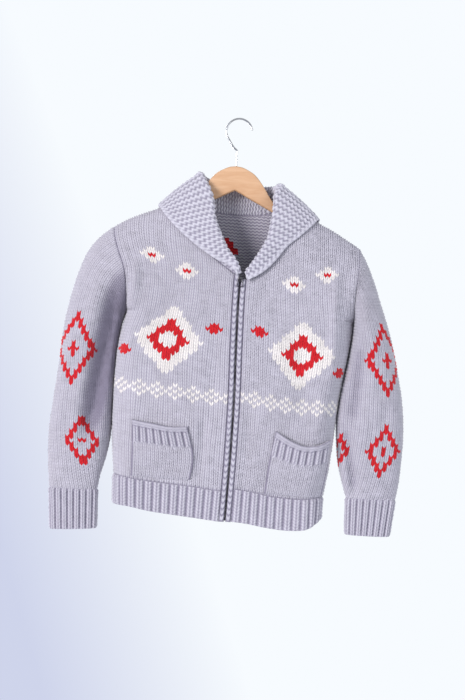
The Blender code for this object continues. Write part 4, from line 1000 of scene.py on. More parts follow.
def collar_paths(places):
    """Middle surface of the collar at places round the neck, from outer edge to seam: the fall, a
    half circle over the roll, and the stand."""
    seam, normals = neck_seam(places)
    across = unit(np.cross(normals, np.gradient(seam, axis=0)))
    towards = np.array(NECK_MIDDLE) - seam
    across *= np.sign(np.einsum("ij,ij->i", across, towards))[:, None]
    table = smooth(COLLAR, places)
    axis, radius = table[:, 0:3], table[:, 3:4]
    bearing, lift = np.radians(table[:, 6]), table[:, 7:8]
    facing = np.clip(-3 * np.cos(bearing), -1, 1)
    depth = np.where(facing < 0, -body_y(table[:, 4], table[:, 5], "front"),
                     body_y(table[:, 4], table[:, 5], "back"))
    edge = np.column_stack([table[:, 4], facing * depth, table[:, 5]])
    start = seam - normals * WALL / 2 + across * 0.15
    upward = unit(axis - start)
    away = np.column_stack([-np.sin(bearing), -np.cos(bearing), 0 * bearing])
    outward = unit(away - np.einsum("ij,ij->i", away, upward)[:, None] * upward)
    foot, head = axis - radius * outward, axis + radius * outward
    edge = clear_of_body(edge, collar_clearance(edge)) + away * lift
    long = np.linalg.norm(edge - head, axis=1)[:, None]
    belly = FALL_BOW * np.clip(long / 60 - 0.2, 0, 1)
    rows = []
    for share in np.linspace(1, 0, FALL_STEPS)[:-1]:
        point = head + (edge - head) * share
        point = clear_of_body(point, collar_clearance(point))
        rows.append(point + away * (belly * 4 * share * (1 - share)))
    for turn in np.linspace(0, math.pi, ROLL_STEPS)[:-1]:
        rows.append(axis + radius * (math.sin(turn) * upward + math.cos(turn) * outward))
    for share in np.linspace(0, 1, STAND_STEPS):
        rows.append(foot + (start - foot) * share)
    return np.array(rows), -normals


def collar():
    """Collar in moss stitch: cells at equal steps round its fall, rows from the edge to the seam,
    with a beaded outer edge."""
    places = np.linspace(0, 3, 361)
    travelled = runs(collar_paths(places)[0][FALL_ROW])
    column = np.arange(CELL * COLLAR_CELLS + 1)
    places = np.interp(np.linspace(0, travelled[-1], len(column)), travelled, places)
    middle, seam_normals = collar_paths(places)
    normals = grid_normals(middle)
    normals *= np.sign(np.einsum("ij,ij->i", normals[-1], seam_normals).mean())
    normals[-1] = seam_normals
    outer = middle + normals * WALL / 2
    reach, total = row_reach(outer, COLLAR_ROW, np.zeros(len(column)))
    from_end = np.minimum(column, column[::-1])[None] / CELL
    fade = ease((total - reach) / SEAM_FADE) * ease(from_end / 0.6)
    inside_edge = ease((reach - 4.5) / 3.0)
    chain = np.sin(math.pi * (column % CELL) / CELL)[None]
    bead = 0.4 + 0.7 * np.sin(math.pi * np.clip(reach / 7.0, 0, 1)) + 0.35 * chain
    sides = []
    for seed, edge in zip(SEEDS["collar"], (bead, 0.2)):
        height, groove = moss(*reach.shape, seed)
        height = height * inside_edge + edge * (1 - inside_edge)
        # Painted shade between the beads of the outer edge and along the neck seam.
        groove = groove * inside_edge + 0.5 * (1 - chain) * (1 - inside_edge)
        sides.append((height * fade, groove + 0.8 * near(total - reach)))
    outside, (height, groove) = sides
    knit_wall("collar", "knit", lay(outer, normals, reach), outside,
              slot="collar_yarn",
              lining=(np.minimum(0.6 * height, 0.45), groove))


# ---------------------------------------------------------------- pockets
def pocket(side):
    """Patch pocket: stocking stitch, eight ribs above it and a rolled edge; it bellies at the
    mouth."""
    shape = POCKET[side]
    columns = 4 * POCKET_WALES + 1
    levels, places = np.linspace(0, 1, 101), np.linspace(0, 1, columns)
    outer_side, inner_side = along(shape["outer"], levels), along(shape["inner"], levels)
    foot = outer_side[0] + (inner_side[0] - outer_side[0]) * places[:, None]
    flat = patch(foot, along(shape["mouth"], places), outer_side, inner_side)
    grid = np.dstack([flat[..., 0], body_y(flat[..., 0], flat[..., 1], "front"), flat[..., 1]])
    belly = POCKET_LIFT * np.sin(math.pi * places)[None] * levels[:, None] ** 1.6
    outer = grid + outward_normals(grid, "front") * (GAP + WALL + belly)[..., None]
    pitch = runs(outer)[-1].mean() / POCKET_ROWS
    row = runs(outer) / runs(outer)[-1] * POCKET_ROWS
    shift = (rib_shares(POCKET_WALES // 2) - places)[None] * ease((row - SPREAD_ROW) / 3.0)
    for line, moved in zip(outer, places + shift):
        line[:] = np.column_stack([np.interp(moved, places, values) for values in line.T])
    reach, total = row_reach(outer, pitch, leg_lean(columns))
    row = reach / total[None] * POCKET_ROWS
    plain, furrow = stocking(*reach.shape, SEEDS["pockets"][0])
    ribs, valley = rib(np.ones(reach.shape), SEEDS["pockets"][1])
    twist = 0.3 * np.sin(math.pi * ((np.arange(columns) % 4) / 4)[None])
    cord = np.abs(np.sin(math.pi * np.clip((row - CORD_ROW) / 0.9, 0, 2)))
    bead = POCKET_BEAD + 0.7 * cord + twist
    to_rib, to_bead = ease((row - RIB_ROW) / 0.9), ease((row - BEAD_ROW) / 0.6)
    height = plain * (1 - to_rib) + ribs * to_rib * (1 - to_bead) + bead * to_bead
    height = height * ease(reach / 2.5) * (1 - 0.6 * ease((row - RIM_ROW) / 0.3))
    step = np.arange(columns) * COLUMN_STEP
    sides = np.minimum(step, step[::-1])[None]
    away = np.minimum(sides, reach)
    height = height * ease(away / SEAM_FADE) - 1.2 * near(away, 5.0)
    # Painted shade in the stitches' grooves and over the bead off the cord, a painted shadow along
    # the sides and a painted shadow line under the cord.
    groove = furrow * (1 - to_rib) + valley * to_rib * (1 - to_bead) + (0.9 - 0.6 * cord) * to_bead
    groove = groove + 1.7 * near(sides, 4.4) + 0.5 * near(np.abs(row - LINE_ROW) * pitch, 2.0)
    knit_wall(side + "_pocket", "knit", lay(outer, outward_normals(outer, "front"), reach),
              (height, groove))


# ---------------------------------------------------------------- zip
def zip_band(side):
    """Edge band beside the zip: one large chain of stitches, crowned, with sunk edges."""
    z = np.linspace(ZIP_FOOT, NECK_END[side] - 0.6, 200)
    towards = -SIGN[side]
    shares = np.linspace(0, 1, 9)
    edge = zip_x(z) - towards * (BAND_REACH - GAP)
    x = edge[:, None] + towards * (BAND_REACH - BAND_INNER - GAP) * shares[None]
    paths = np.dstack([x, body_y(edge, z, "front")[:, None] + 0 * x, z[:, None] + 0 * x])
    reach, total = row_reach(paths, BAND_ROW, 0.5 * np.abs(2 * shares - 1))
    across = np.array([-1.0, 0.3, 0.9, 0.9, 0.5, 0.9, 0.9, 0.3, -1.0])[None]
    plump = strand(len(reach))[:, None]
    height = np.where(across > 0, across * (0.1 + 0.9 * plump), across * 0.7) * 2.2
    height = height + 1.2 * np.sin(math.pi * shares)
    height = height * ease(np.minimum(reach, total - reach) / 2.5)
    # Painted shade at the band's sunk edges and between its rows.
    groove = np.array([1.6, 1.0, 0.3, 0.0, 0.2, 0.0, 0.1, 0.4, 0.9])[None] + 1.1 - 1.1 * plump
    knit_wall(side + "_zip_band", "knit", lay(paths, outward_normals(paths, "front"), reach),
              (height, groove), slot="collar_yarn")


def loft(sections, closed=False):
    """Points and faces of a row of equal loops, with one polygon at each end or run back into
    itself."""
    index = np.arange(sections.shape[0] * sections.shape[1]).reshape(sections.shape[:2])
    turned = np.roll(index, -1, axis=1)
    quads = np.stack([index, turned, np.roll(turned, -1, axis=0), np.roll(index, -1, axis=0)], -1)
    if closed:
        return sections.reshape(-1, 3), quads.reshape(-1, 4).tolist()
    ends = [index[0][::-1].tolist(), index[-1].tolist()]
    return sections.reshape(-1, 3), quads[:-1].reshape(-1, 4).tolist() + ends


def joined(parts):
    """Several points-and-faces pairs as one."""
    points, faces, start = [], [], 0
    for some, loops in parts:
        points.append(some)
        faces += [[v + start for v in loop] for loop in loops]
        start += len(some)
    return np.concatenate(points), faces


def zip_tape(material):
    """The two woven tapes behind the bands, with a cord along the inner edge of each."""
    z = np.linspace(ZIP_FOOT + 2, NECK_END["right"] - 1, 161)
    x = zip_x(z)
    y = body_y(x, z, "front") + WALL + 0.4
    profile = np.array([(-TAPE_HALF, 0), (-1.6, 0), (-1.3, -0.8), (-0.5, -0.9), (0.5, -0.9),
                        (1.3, -0.8), (1.6, 0), (TAPE_HALF, 0), (TAPE_HALF, TAPE),
                        (-TAPE_HALF, TAPE)])
    loops = np.stack([np.column_stack([x + dx, y + dy, z]) for dx, dy in profile], axis=1)
    uv = np.column_stack([np.tile(profile[:, 0] / 2, len(z)), np.repeat(z / 2, len(profile))])
    tape = add_piece("zip_tape", *loft(loops), material, "zip_metal", "zip", uv=uv)


def zip_teeth(material):
    """Chain: one rounded tooth repeated along the zip, turned to either side in turn."""
    pitch = bpy.context.scene.cardigan_fittings.tooth / MM
    z = np.arange(ZIP_FOOT + 4, ZIP_TOP - 1, pitch)
    x = zip_x(z)
    y = body_y(x, z, "front") + CHAIN_RECESS
    high = 0.42 * pitch
    outline = np.array([(1.3, -high), (1.3, high), (-0.5, high), (-1.15, 0.4 * high),
                        (-1.15, -0.4 * high), (-0.5, -high)])
    across, upward = outline.T
    tooth = [np.column_stack([across * size, np.full(len(outline), depth), upward * size])
             for size, depth in TOOTH]
    corners, loops = loft(np.stack(tooth))
    side = np.where(np.arange(len(z)) % 2 == 0, 1.0, -1.0)
    points = corners[None] * np.stack([side, 1 + 0 * side, 1 + 0 * side], axis=-1)[:, None]
    points = points + np.stack([x, y, z], axis=-1)[:, None]
    faces = []
    for k, turn in enumerate(side):
        faces += [[v + k * len(corners) for v in loop[::int(turn)]] for loop in loops]
    add_piece("zip_teeth", points.reshape(-1, 3), faces, material, "zip_metal")


def round_tube(path, tangent, radius, sides=14):
    """Loops of a round tube along a path in the plane across the Y axis."""
    across = unit(tangent)
    across = np.column_stack([-across[:, 2], 0 * across[:, 0], across[:, 0]])
    angles = circle(sides)
    ring = (np.cos(angles)[None, :, None] * across[:, None]
            + np.sin(angles)[None, :, None] * np.array([0.0, 1.0, 0.0]))
    return path[:, None] + np.reshape(radius, (-1, 1, 1)) * ring


def slider(material):
    """Slider: two plates joined by a neck between the teeth, a rounded front and a bail."""
    share = np.linspace(0, 1, 25)
    z = SLIDER_TOP - SLIDER_LENGTH * share
    x = zip_x(z)
    seat = body_y(x, z, "front") + CHAIN_RECESS - 0.3
    mid = body_y(x, z, "front") - SLIDER_STAND
    taper = 0.6 + 0.4 * np.cos(math.pi / 2 * np.clip((share - 0.25) / 0.75, 0, 1)) ** 0.8
    shoulder = np.clip(1 - (1 - share / 0.16) ** 2, 0.12, 1)
    taper *= np.sqrt(np.where(share < 0.16, shoulder, 1))
    tail = np.clip(1 - ((share - 0.9) / 0.1) ** 2 * 0.7, 0, 1)
    taper *= np.sqrt(np.where(share > 0.9, tail, 1))
    half = SLIDER_HALF * taper
    depth = SLIDER_PLATE * (0.75 + 0.25 * np.sin(math.pi * share))
    front = [np.column_stack([x - half * np.sign(math.cos(a)) * abs(math.cos(a)) ** 0.5,
                              mid - depth * math.sin(a) ** 0.6, z])
             for a in np.linspace(0, math.pi, 15)]
    neck = CHAIN_HALF - 0.15
    back = [np.column_stack([x + dx, y, z])
            for dx, y in ((neck, mid), (neck, seat), (-neck, seat), (-neck, mid))]
    plates = loft(np.stack(front + back, 1))
    centre_z = SLIDER_TOP - 0.12 * SLIDER_LENGTH - 2.6
    cx = float(zip_x(centre_z))
    face = float(body_y(cx, centre_z, "front")) - SLIDER_STAND - SLIDER_PLATE
    turns = np.linspace(-0.5, math.pi + 0.5, 33)
    radial = np.column_stack([0 * turns, -np.sin(turns), np.cos(turns)])
    path = np.array([cx, face - 0.6, centre_z]) + radial * (BAIL_REACH - 1.2)
    loops = path[:, None] + 0.7 * np.cos(circle(10))[None, :, None] * radial[:, None]
    loops = loops + (BAIL_HALF * np.sin(circle(10)))[None, :, None] * np.array([1.0, 0, 0])
    add_piece("zip_slider_body", *joined([plates, loft(loops)]), material, "zip_metal",
              "zip_slider")
    return np.array([cx, face + 0.35 - 0.9, centre_z])


def pull(pivot, material):
    """Pull: a wire ring, wide at its foot, hung in the bail."""
    bar = BAIL_HALF + PULL_WIRE + 0.9
    turns = circle(96)
    drop = (1 - np.cos(turns)) / 2
    wide = bar + (PULL_HALF - bar) * np.sin(np.clip(drop * 1.15, 0, 1) * math.pi / 2)
    x = wide * np.sign(np.sin(turns)) * np.minimum(1, np.abs(np.sin(turns)) / 0.55) ** 0.8
    path = np.column_stack([x, 0 * turns, -PULL_LENGTH * drop])
    tangent = np.roll(path, -1, axis=0) - np.roll(path, 1, axis=0)
    ring = loft(round_tube(path, tangent, PULL_WIRE) + pivot, closed=True)
    add_piece("zip_pull_ring", *ring, material, "zip_metal", "zip_pull", body="zip_pull")


# ---------------------------------------------------------------- hanger
def hanger_wood(material):
    """Wooden arms and head: rounded upright sections carried from tip to tip."""
    share = np.sin(np.linspace(-math.pi / 2, math.pi / 2, 181))
    x = WOOD[-1][0] * share
    top, bottom, half = smooth(WOOD, np.abs(x)).T
    tip = np.sqrt(np.clip(1 - share ** 60, 0.02, 1))
    middle, height, half = (top + bottom) / 2, (top - bottom) / 2 * tip, half * tip
    corner = np.minimum(half, height) * 0.8
    angles = circle(32) + math.pi / 32
    c, s = np.cos(angles)[None], np.sin(angles)[None]
    y = (half - corner)[:, None] * np.sign(c) + corner[:, None] * c
    z = middle[:, None] + (height - corner)[:, None] * np.sign(s) + corner[:, None] * s
    loops = np.stack([x[:, None] + 0 * y, y, z], axis=-1)
    pivot = np.array([0, 0, WOOD[0][1]])
    c, s = math.cos(WOOD_TILT), math.sin(WOOD_TILT)
    turn = np.array([[c, 0, s], [0, 1, 0], [-s, 0, c]])
    add_piece("hanger_arms", *loft((loops - pivot) @ turn.T + pivot), material, "wood",
              "hanger_wood")


def hanger_hook(material):
    """Hook: a round wire up from the wood, over an elbow and round an open loop, rounded at its
    end."""
    turns = np.linspace(HOOK_OPEN, HOOK_TURN, 90)
    loop = np.column_stack([-STEM[0] + HOOK_LOOP * np.cos(turns),
                            HOOK_RADIUS - HOOK_LOOP + HOOK_LOOP * np.sin(turns)])
    elbow = [(-6.5, -56.5), (0, HOOK_ELBOW_Z), (0, HOOK_ELBOW_Z - 7)]
    bend = along([loop[-8], loop[-1], *elbow], np.linspace(0, 1, 60))
    stem = np.linspace(HOOK_ELBOW_Z - 7, WOOD[0][1] - 0.5, 9)[1:]
    path = np.concatenate([loop[:-8], bend, np.column_stack([0 * stem, stem])])
    path = np.column_stack([path[:, 0], 0 * path[:, 0], path[:, 1]])
    end = 1 - (1 - np.clip(runs(path) / HOOK_RADIUS, 0, 1)) ** 2
    radius = HOOK_RADIUS * np.sqrt(np.clip(end, 0.05, 1))
    wire = loft(round_tube(path, np.gradient(path, axis=0), radius, 18))
    add_piece("hanger_wire", *wire, material, "wire", "hanger_hook")


# ---------------------------------------------------------------- node groups and finishes
def new_group(name, outputs, vectors=(), colours=(), numbers=()):
    """Shader node group whose inputs are named vectors, colours and numbers; its outputs are Colour
    and named numbers."""
    tree = bpy.data.node_groups.new(name, "ShaderNodeTree")
    sockets = [("INPUT", "Vector", vectors), ("INPUT", "Color", colours),
               ("INPUT", "Float", numbers), ("OUTPUT", "Color", ["Colour"]),
               ("OUTPUT", "Float", outputs)]
    for side, kind, labels in sockets:
        for label in labels:
            tree.interface.new_socket(label, in_out=side, socket_type="NodeSocket" + kind)
    return tree, tree.nodes.new("NodeGroupInput").outputs, tree.nodes.new("NodeGroupOutput").inputs


def put(tree, kind, links=(), **settings):
    """Node with its settings. Links are sockets, numbers, vectors or colours for its inputs; a
    setting that the node lacks is an input too."""
    node = tree.nodes.new(kind)
    inputs = dict(links)
    for key, value in settings.items():
        if hasattr(node, key):
            setattr(node, key, value)
        else:
            inputs[key.replace("_", " ")] = value
    for key, source in inputs.items():
        socket = node.inputs[key]
        if isinstance(source, bpy.types.NodeSocket):
            tree.links.new(source, socket)
        elif hasattr(source, "__len__"):
            socket.default_value = (*source[:3], 1.0)[:len(socket.default_value)]
        else:
            socket.default_value = source
    return node


def sums(tree, operation, a, b=None):
    """Math node's value."""
    links = {0: a} if b is None else {0: a, 1: b}
    return put(tree, "ShaderNodeMath", links, operation=operation).outputs[0]


def times(tree, a, b):
    return sums(tree, "MULTIPLY", a, b)


def plus(tree, a, b):
    return sums(tree, "ADD", a, b)


def noise(tree, position, **settings):
    """Value of a noise texture."""
    return put(tree, "ShaderNodeTexNoise", {"Vector": position}, **settings).outputs[0]


def blend(tree, factor, a, b, mode="MIX"):
    """Colour mix: a at factor 0, b at factor 1; a and b are sockets or colours."""
    return put(tree, "ShaderNodeMix", {"Factor": factor, 6: a, 7: b}, data_type="RGBA",
               blend_type=mode).outputs[2]


def scaled(tree, value, low, high, to_low, to_high):
    """Map Range: low..high onto to_low..to_high, held at the ends."""
    links = {0: value, 1: low, 2: high, 3: to_low, 4: to_high}
    return put(tree, "ShaderNodeMapRange", links).outputs[0]


def wool_group(name):
    """Wool: heathered colour, with shade painted into the grooves; height from the ply's twist and
    loose fibres.
    The twist is a sine of rows and of the distance from the middle of the wale. On the inside purl
    bumps stand over it: a sine of the row, shifted by a sine of the wale."""
    tree, given, result = new_group(
        name, ["Height"], ["Position", "Stitch"], ["Colour", "Shade"],
        ["Groove", "Purl", "Heather", "Depth of grooves"])
    marl = noise(tree, given["Position"], Scale=70, Detail=3)
    fibre = noise(tree, given["Position"], Scale=900, Detail=4, Roughness=0.7)
    change = plus(tree, scaled(tree, marl, 0.3, 0.7, -1.0, 1.0),
                  scaled(tree, fibre, 0.3, 0.7, -0.6, 0.6))
    bright = plus(tree, times(tree, change, given["Heather"]), 1.0)
    grey = put(tree, "ShaderNodeCombineColor", {0: bright, 1: bright, 2: bright}).outputs[0]
    colour = blend(tree, 1.0, given["Colour"], grey, "MULTIPLY")
    shaded = blend(tree, 1.0, colour, given["Shade"], "MULTIPLY")
    wale, row, _ = put(tree, "ShaderNodeSeparateXYZ", {0: given["Stitch"]}).outputs
    over = sums(tree, "SINE", times(tree, wale, 2 * math.pi))
    wave = plus(tree, times(tree, row, 2 * math.pi), times(tree, over, 1.1))
    bumps = times(tree, scaled(tree, sums(tree, "SINE", wave), -0.9, 0.7, 0, 1), given["Purl"])
    # Painted shade: the grooves and the hollows between the purl bumps blend the colour toward the
    # shade colour.
    hollow = times(tree, sums(tree, "SUBTRACT", given["Purl"], bumps), 0.9)
    sunk = times(tree, plus(tree, given["Groove"], hollow), given["Depth of grooves"])
    tree.links.new(blend(tree, sunk, colour, shaded), result["Colour"])
    half = sums(tree, "ABSOLUTE", sums(tree, "SUBTRACT", sums(tree, "FRACT", wale), 0.5))
    turn = plus(tree, times(tree, row, 3.0), times(tree, half, -5.0))
    ply = sums(tree, "SINE", times(tree, turn, 2 * math.pi))
    height = plus(tree, times(tree, ply, 0.22), fibre)
    tree.links.new(plus(tree, height, times(tree, bumps, 4.0)), result["Height"])
    return tree


def grain_group(name):
    """Wood grain: long streaks of noise drawn out along X, with fine dark pores."""
    tree, given, result = new_group(name, ["Roughness", "Height"], ["Position"], ["Light", "Dark"])
    drawn, finer = (put(tree, "ShaderNodeMapping", {"Vector": given["Position"], "Scale": scale})
                    .outputs[0] for scale in ((7, 60, 60), (30, 700, 700)))
    streak = noise(tree, drawn, Scale=1.6, Detail=5, Roughness=0.55, Distortion=0.8)
    pore = noise(tree, finer, Scale=1.0, Detail=2)
    figure = blend(tree, scaled(tree, streak, 0.3, 0.72, 0.0, 1.0), given["Light"], given["Dark"])
    pored = scaled(tree, pore, 0.58, 0.75, 0.0, 0.35)
    tree.links.new(blend(tree, pored, figure, given["Dark"]), result["Colour"])
    tree.links.new(scaled(tree, streak, 0.3, 0.7, 0.34, 0.46), result["Roughness"])
    tree.links.new(times(tree, pore, -1.0), result["Height"])
    return tree


def wear_group(name):
    """Handling marks on metal: cloudy smears and fine lines that change roughness and colour."""
    tree, given, result = new_group(name, ["Roughness", "Height"], ["Position"], ["Colour", "Worn"],
                                    ["Smooth", "Rough"])
    smear = noise(tree, given["Position"], Scale=60, Detail=4)
    worn = scaled(tree, smear, 0.45, 0.7, 0.0, 1.0)
    tree.links.new(blend(tree, worn, given["Colour"], given["Worn"]), result["Colour"])
    amount = times(tree, sums(tree, "SUBTRACT", given["Rough"], given["Smooth"]), smear)
    tree.links.new(plus(tree, given["Smooth"], amount), result["Roughness"])
    tree.links.new(noise(tree, given["Position"], Scale=900, Detail=2), result["Height"])
    return tree


def new_finish(name, **sockets):
    """Material with a Principled shader whose constant sockets are set by name."""
    material = bpy.data.materials.new(name)
    material.use_nodes = True
    shader = material.node_tree.nodes["Principled BSDF"]
    for label, value in sockets.items():
        shader.inputs[label.replace("_", " ")].default_value = value
    return material, material.node_tree, shader


def bumped(tree, shader, height, strength, distance):
    """Bump node from a height to the shader's normal; distance is in metres."""
    bump = put(tree, "ShaderNodeBump", {"Height": height}, Strength=strength, Distance=distance)
    tree.links.new(bump.outputs[0], shader.inputs["Normal"])


def dressed(finish, group, maker, inputs, strength, distance):
    """Material whose shader takes colour, roughness and bump from a node group, which is built once
    and found again by its name."""
    material, tree, shader = finish
    place = put(tree, "ShaderNodeTexCoord").outputs["Object"]
    node = put(tree, "ShaderNodeGroup", {"Position": place, **inputs},
               node_tree=bpy.data.node_groups.get(group) or maker(group))
    tree.links.new(node.outputs["Colour"], shader.inputs["Base Color"])
    if "Roughness" in node.outputs:
        tree.links.new(node.outputs["Roughness"], shader.inputs["Roughness"])
    bumped(tree, shader, node.outputs["Height"], strength, distance)
    return material


def wool(slot):
    """Wool of a slot, found again by its name: the yarn group over the stitches' own colours."""
    name = slot + "_knit"
    if name in bpy.data.materials:
        return bpy.data.materials[name]
    finish = new_finish(name, Roughness=0.92, Sheen_Weight=0.28, Sheen_Roughness=0.45,
                        Specular_IOR_Level=0.25)
    inputs = {label: put(finish[1], "ShaderNodeAttribute", attribute_name=mark).outputs[output]
              for label, mark, output in (("Colour", "yarn_colour", "Color"),
                                          ("Groove", "groove", "Fac"), ("Purl", "purl", "Fac"))}
    inputs["Stitch"] = put(finish[1], "ShaderNodeUVMap", uv_map="stitches").outputs[0]
    inputs.update({"Shade": WOOL_SHADE, "Depth of grooves": GROOVE_DEPTH,
                   "Heather": bpy.context.scene.cardigan_yarns.heather})
    return dressed(finish, "Wool yarn", wool_group, inputs, 0.6, 0.0004)


def worn_metal(name, colour, worn, smooth_, rough, metallic):
    """Metal with handling marks."""
    finish = new_finish(name, Metallic=metallic)
    inputs = {"Colour": colour, "Worn": worn, "Smooth": smooth_, "Rough": rough}
    return dressed(finish, "Worn metal", wear_group, inputs, 0.15, 0.0001)


def tape_weave():
    """Zip tape: a plain weave, a sine across by a sine along its own UV map."""
    material, tree, shader = new_finish("zip_tape_weave", Roughness=0.85, Sheen_Weight=0.1)
    stitch = put(tree, "ShaderNodeUVMap", uv_map="stitches").outputs[0]
    place = put(tree, "ShaderNodeSeparateXYZ", {0: stitch}).outputs
    waves = [sums(tree, "SINE", times(tree, place[k], 2 * math.pi * TAPE_WEAVE)) for k in (0, 1)]
    weave = times(tree, *waves)
    colour = blend(tree, scaled(tree, weave, -1, 1, 0, 1), *TAPE_TONES)
    tree.links.new(colour, shader.inputs["Base Color"])
    bumped(tree, shader, weave, 0.5, 0.0002)
    return material


def varnished_wood():
    """Varnished wood: the grain group under a clear coat."""
    fittings = bpy.context.scene.cardigan_fittings
    finish = new_finish("varnished_wood", Coat_Weight=0.35, Coat_Roughness=0.12)
    inputs = {"Light": fittings.wood_light, "Dark": fittings.wood_dark}
    return dressed(finish, "Wood grain", grain_group, inputs, 0.2, 0.0002)


# ---------------------------------------------------------------- stage
def stage_floor():
    """Pale round floor below the hanging garment, too low to be in the camera's view."""
    look = bpy.context.scene.cardigan_stage
    turns = circle(96)
    radii = np.linspace(0.15, 1.05, 7)
    rings = radii[:, None, None] * np.stack([np.cos(turns), np.sin(turns)], -1)[None]
    points = np.concatenate([[(0, 0)], rings.reshape(-1, 2)])
    points = np.column_stack([points, np.full(len(points), look.floor)])
    index = 1 + np.arange(rings.shape[0] * rings.shape[1]).reshape(rings.shape[:2])
    turned = np.roll(index, -1, axis=1)
    faces = np.column_stack([0 * index[0], index[0], turned[0]]).tolist()
    faces += np.stack([index[:-1], index[1:], turned[1:], turned[:-1]], -1).reshape(-1, 4).tolist()
    mesh = bpy.data.meshes.new("floor")
    mesh.from_pydata(points.tolist(), [], faces)
    material, tree, shader = new_finish("floor_paint", Roughness=0.85)
    place = put(tree, "ShaderNodeTexCoord").outputs["Object"]
    tone = np.array(look.pale[:])
    paint = blend(tree, noise(tree, place, Scale=1.2, Detail=3), tone * 0.985, tone)
    tree.links.new(paint, shader.inputs["Base Color"])
    mesh.materials.append(material)
    floor = bpy.data.objects.new("floor", mesh)
    bpy.context.scene.collection.objects.link(floor)


def area_light(name, place, size, power, colour):
    """Square soft light at a place, turned to the garment's middle."""
    light = bpy.data.lights.new(name, "AREA")
    light.shape, light.size, light.energy, light.color = "SQUARE", size, power, colour
    lamp = bpy.data.objects.new(name, light)
    from_aim = unit(np.array(place, float) - np.array(LIT_POINT))
    side = unit(np.cross([0, 0, 1.0], from_aim))
    turn = np.column_stack([side, np.cross(from_aim, side), from_aim, place])
    lamp.matrix_world = Matrix([*turn.tolist(), (0, 0, 0, 1)])
    bpy.context.scene.collection.objects.link(lamp)


def stage_lights():
    """A large, far key from the viewer's left, a weak fill from the right, one light on the back
    and a pale world, brighter to the right than to the lower left and where it is seen."""
    look = bpy.context.scene.cardigan_stage
    for name, place, size, colour in LIGHTS:
        area_light(name, place, size, getattr(look, name), colour)
    world = bpy.data.worlds.new("pale")
    bpy.context.scene.world = world
    bpy.context.scene.view_settings.view_transform = "Standard"
    world.use_nodes = True
    tree = world.node_tree
    ground = tree.nodes["Background"]
    bearing = put(tree, "ShaderNodeTexCoord").outputs["Generated"]
    over, _, up = put(tree, "ShaderNodeSeparateXYZ", {0: bearing}).outputs
    rise = plus(tree, over, times(tree, up, 0.4))
    tint = blend(tree, scaled(tree, rise, -0.30, -0.10, 0, 1), look.shade, look.sky)
    tree.links.new(tint, ground.inputs[0])
    seen = put(tree, "ShaderNodeLightPath").outputs["Is Camera Ray"]
    tree.links.new(scaled(tree, seen, 0, 1, look.glow, look.backdrop), ground.inputs[1])


def stage_camera():
    """Camera at the height of the garment's middle, rolled a little to the left."""
    data = bpy.data.cameras.new("camera")
    data.lens, data.sensor_width, data.clip_end = 50.0, 36.0, 100.0
    camera = bpy.data.objects.new("camera", data)
    c, s = math.cos(CAMERA_ROLL), math.sin(CAMERA_ROLL)
    x, y, z = CAMERA_PLACE
    camera.matrix_world = Matrix([(c, -s, 0, x), (0, 0, -1, y), (s, c, 0, z), (0, 0, 0, 1)])
    bpy.context.scene.collection.objects.link(camera)
    bpy.context.scene.camera = camera


# ---------------------------------------------------------------- settings
def number_of(name, description, default, low, high, **more):
    return FloatProperty(name=name, description=description, default=default, min=low, max=high,
                         **more)


def size_of(name, description, default, low, high):
    return number_of(name, description, default, low, high, unit="LENGTH")


def colour_of(name, description, default):
    return FloatVectorProperty(name=name, description=description, default=default, size=3,
                               min=0.0, max=1.0, subtype="COLOR")


class KnitSettings(bpy.types.PropertyGroup):
    """Sizes of the stitches."""
    wale: size_of("Stitch width", "Width of one sleeve stitch", 0.0084, 0.005, 0.014)
    row: size_of("Row height", "Height of one row of stitches", 0.0063, 0.004, 0.012)
    relief: size_of("Relief", "Height of a strand above the cloth's face", 0.0017, 0.0, 0.003)
    lean: number_of("Lean", "Rise of a stitch's legs, in rows", 0.85, 0.0, 1.5)


class YarnSettings(bpy.types.PropertyGroup):
    """Colours of the yarns."""
    body: colour_of("Body yarn", "Light grey with a little lilac", (0.505, 0.487, 0.55))
    collar: colour_of("Collar yarn", "Yarn of collar and zip bands", (0.475, 0.46, 0.525))
    cream: colour_of("Cream yarn", "Cream of the figures", (0.80, 0.76, 0.73))
    red: colour_of("Red yarn", "Red of the figures", (0.62, 0.012, 0.02))
    heather: number_of("Heather", "Unevenness of the yarn's colour", 0.05, 0.0, 0.4,
                       subtype="FACTOR")


class FittingSettings(bpy.types.PropertyGroup):
    """Zip, wood and wire."""
    tooth: size_of("Tooth pitch", "Distance from tooth to tooth of the zip", 0.0016, 0.001, 0.004)
    zip_metal: colour_of("Zip metal", "Dark metal of the zip", (0.05, 0.046, 0.055))
    wire: colour_of("Hook wire", "Bright wire", (0.45, 0.45, 0.47))
    wood_light: colour_of("Light wood", "Lighter streaks of the hanger", (0.55, 0.34, 0.205))
    wood_dark: colour_of("Dark wood", "Darker streaks of the hanger", (0.44, 0.235, 0.118))


class StageSettings(bpy.types.PropertyGroup):
    """Floor and lights."""
    floor: size_of("Floor height", "Height of the floor below the hook", -1.6, -4.0, -0.9)
    pale: colour_of("Floor colour", "Pale paint of the floor", (0.88, 0.90, 0.93))
    sky: colour_of("World colour", "Colour of the light from the right", (0.93, 0.965, 1.0))
    shade: colour_of("World shade", "Colour of the light from the lower left", (0.62, 0.66, 0.83))
    glow: number_of("World strength", "Brightness of the light from all round", 0.75, 0.0, 5.0)
    backdrop: number_of("Backdrop", "Brightness of the world where it is seen", 1.0, 0.0, 20.0)
    key: number_of("Key light", "Power of the main light", 735.0, 0.0, 2000.0, unit="POWER")
    fill: number_of("Fill light", "Power of the weaker light", 34.0, 0.0, 500.0, unit="POWER")
    rear: number_of("Rear light", "Power of the light on the back", 320.0, 0.0, 2000.0,
                    unit="POWER")


# ---------------------------------------------------------------- operators
class CARDIGAN_OT_panels(bpy.types.Operator):
    """Knit the back and the two fronts"""
    bl_idname = "cardigan.panels"
    bl_label = "Back and Fronts"

    def execute(self, context):
        back_panel()
        for side in SIDES:
            front_panel(side)
        return {"FINISHED"}


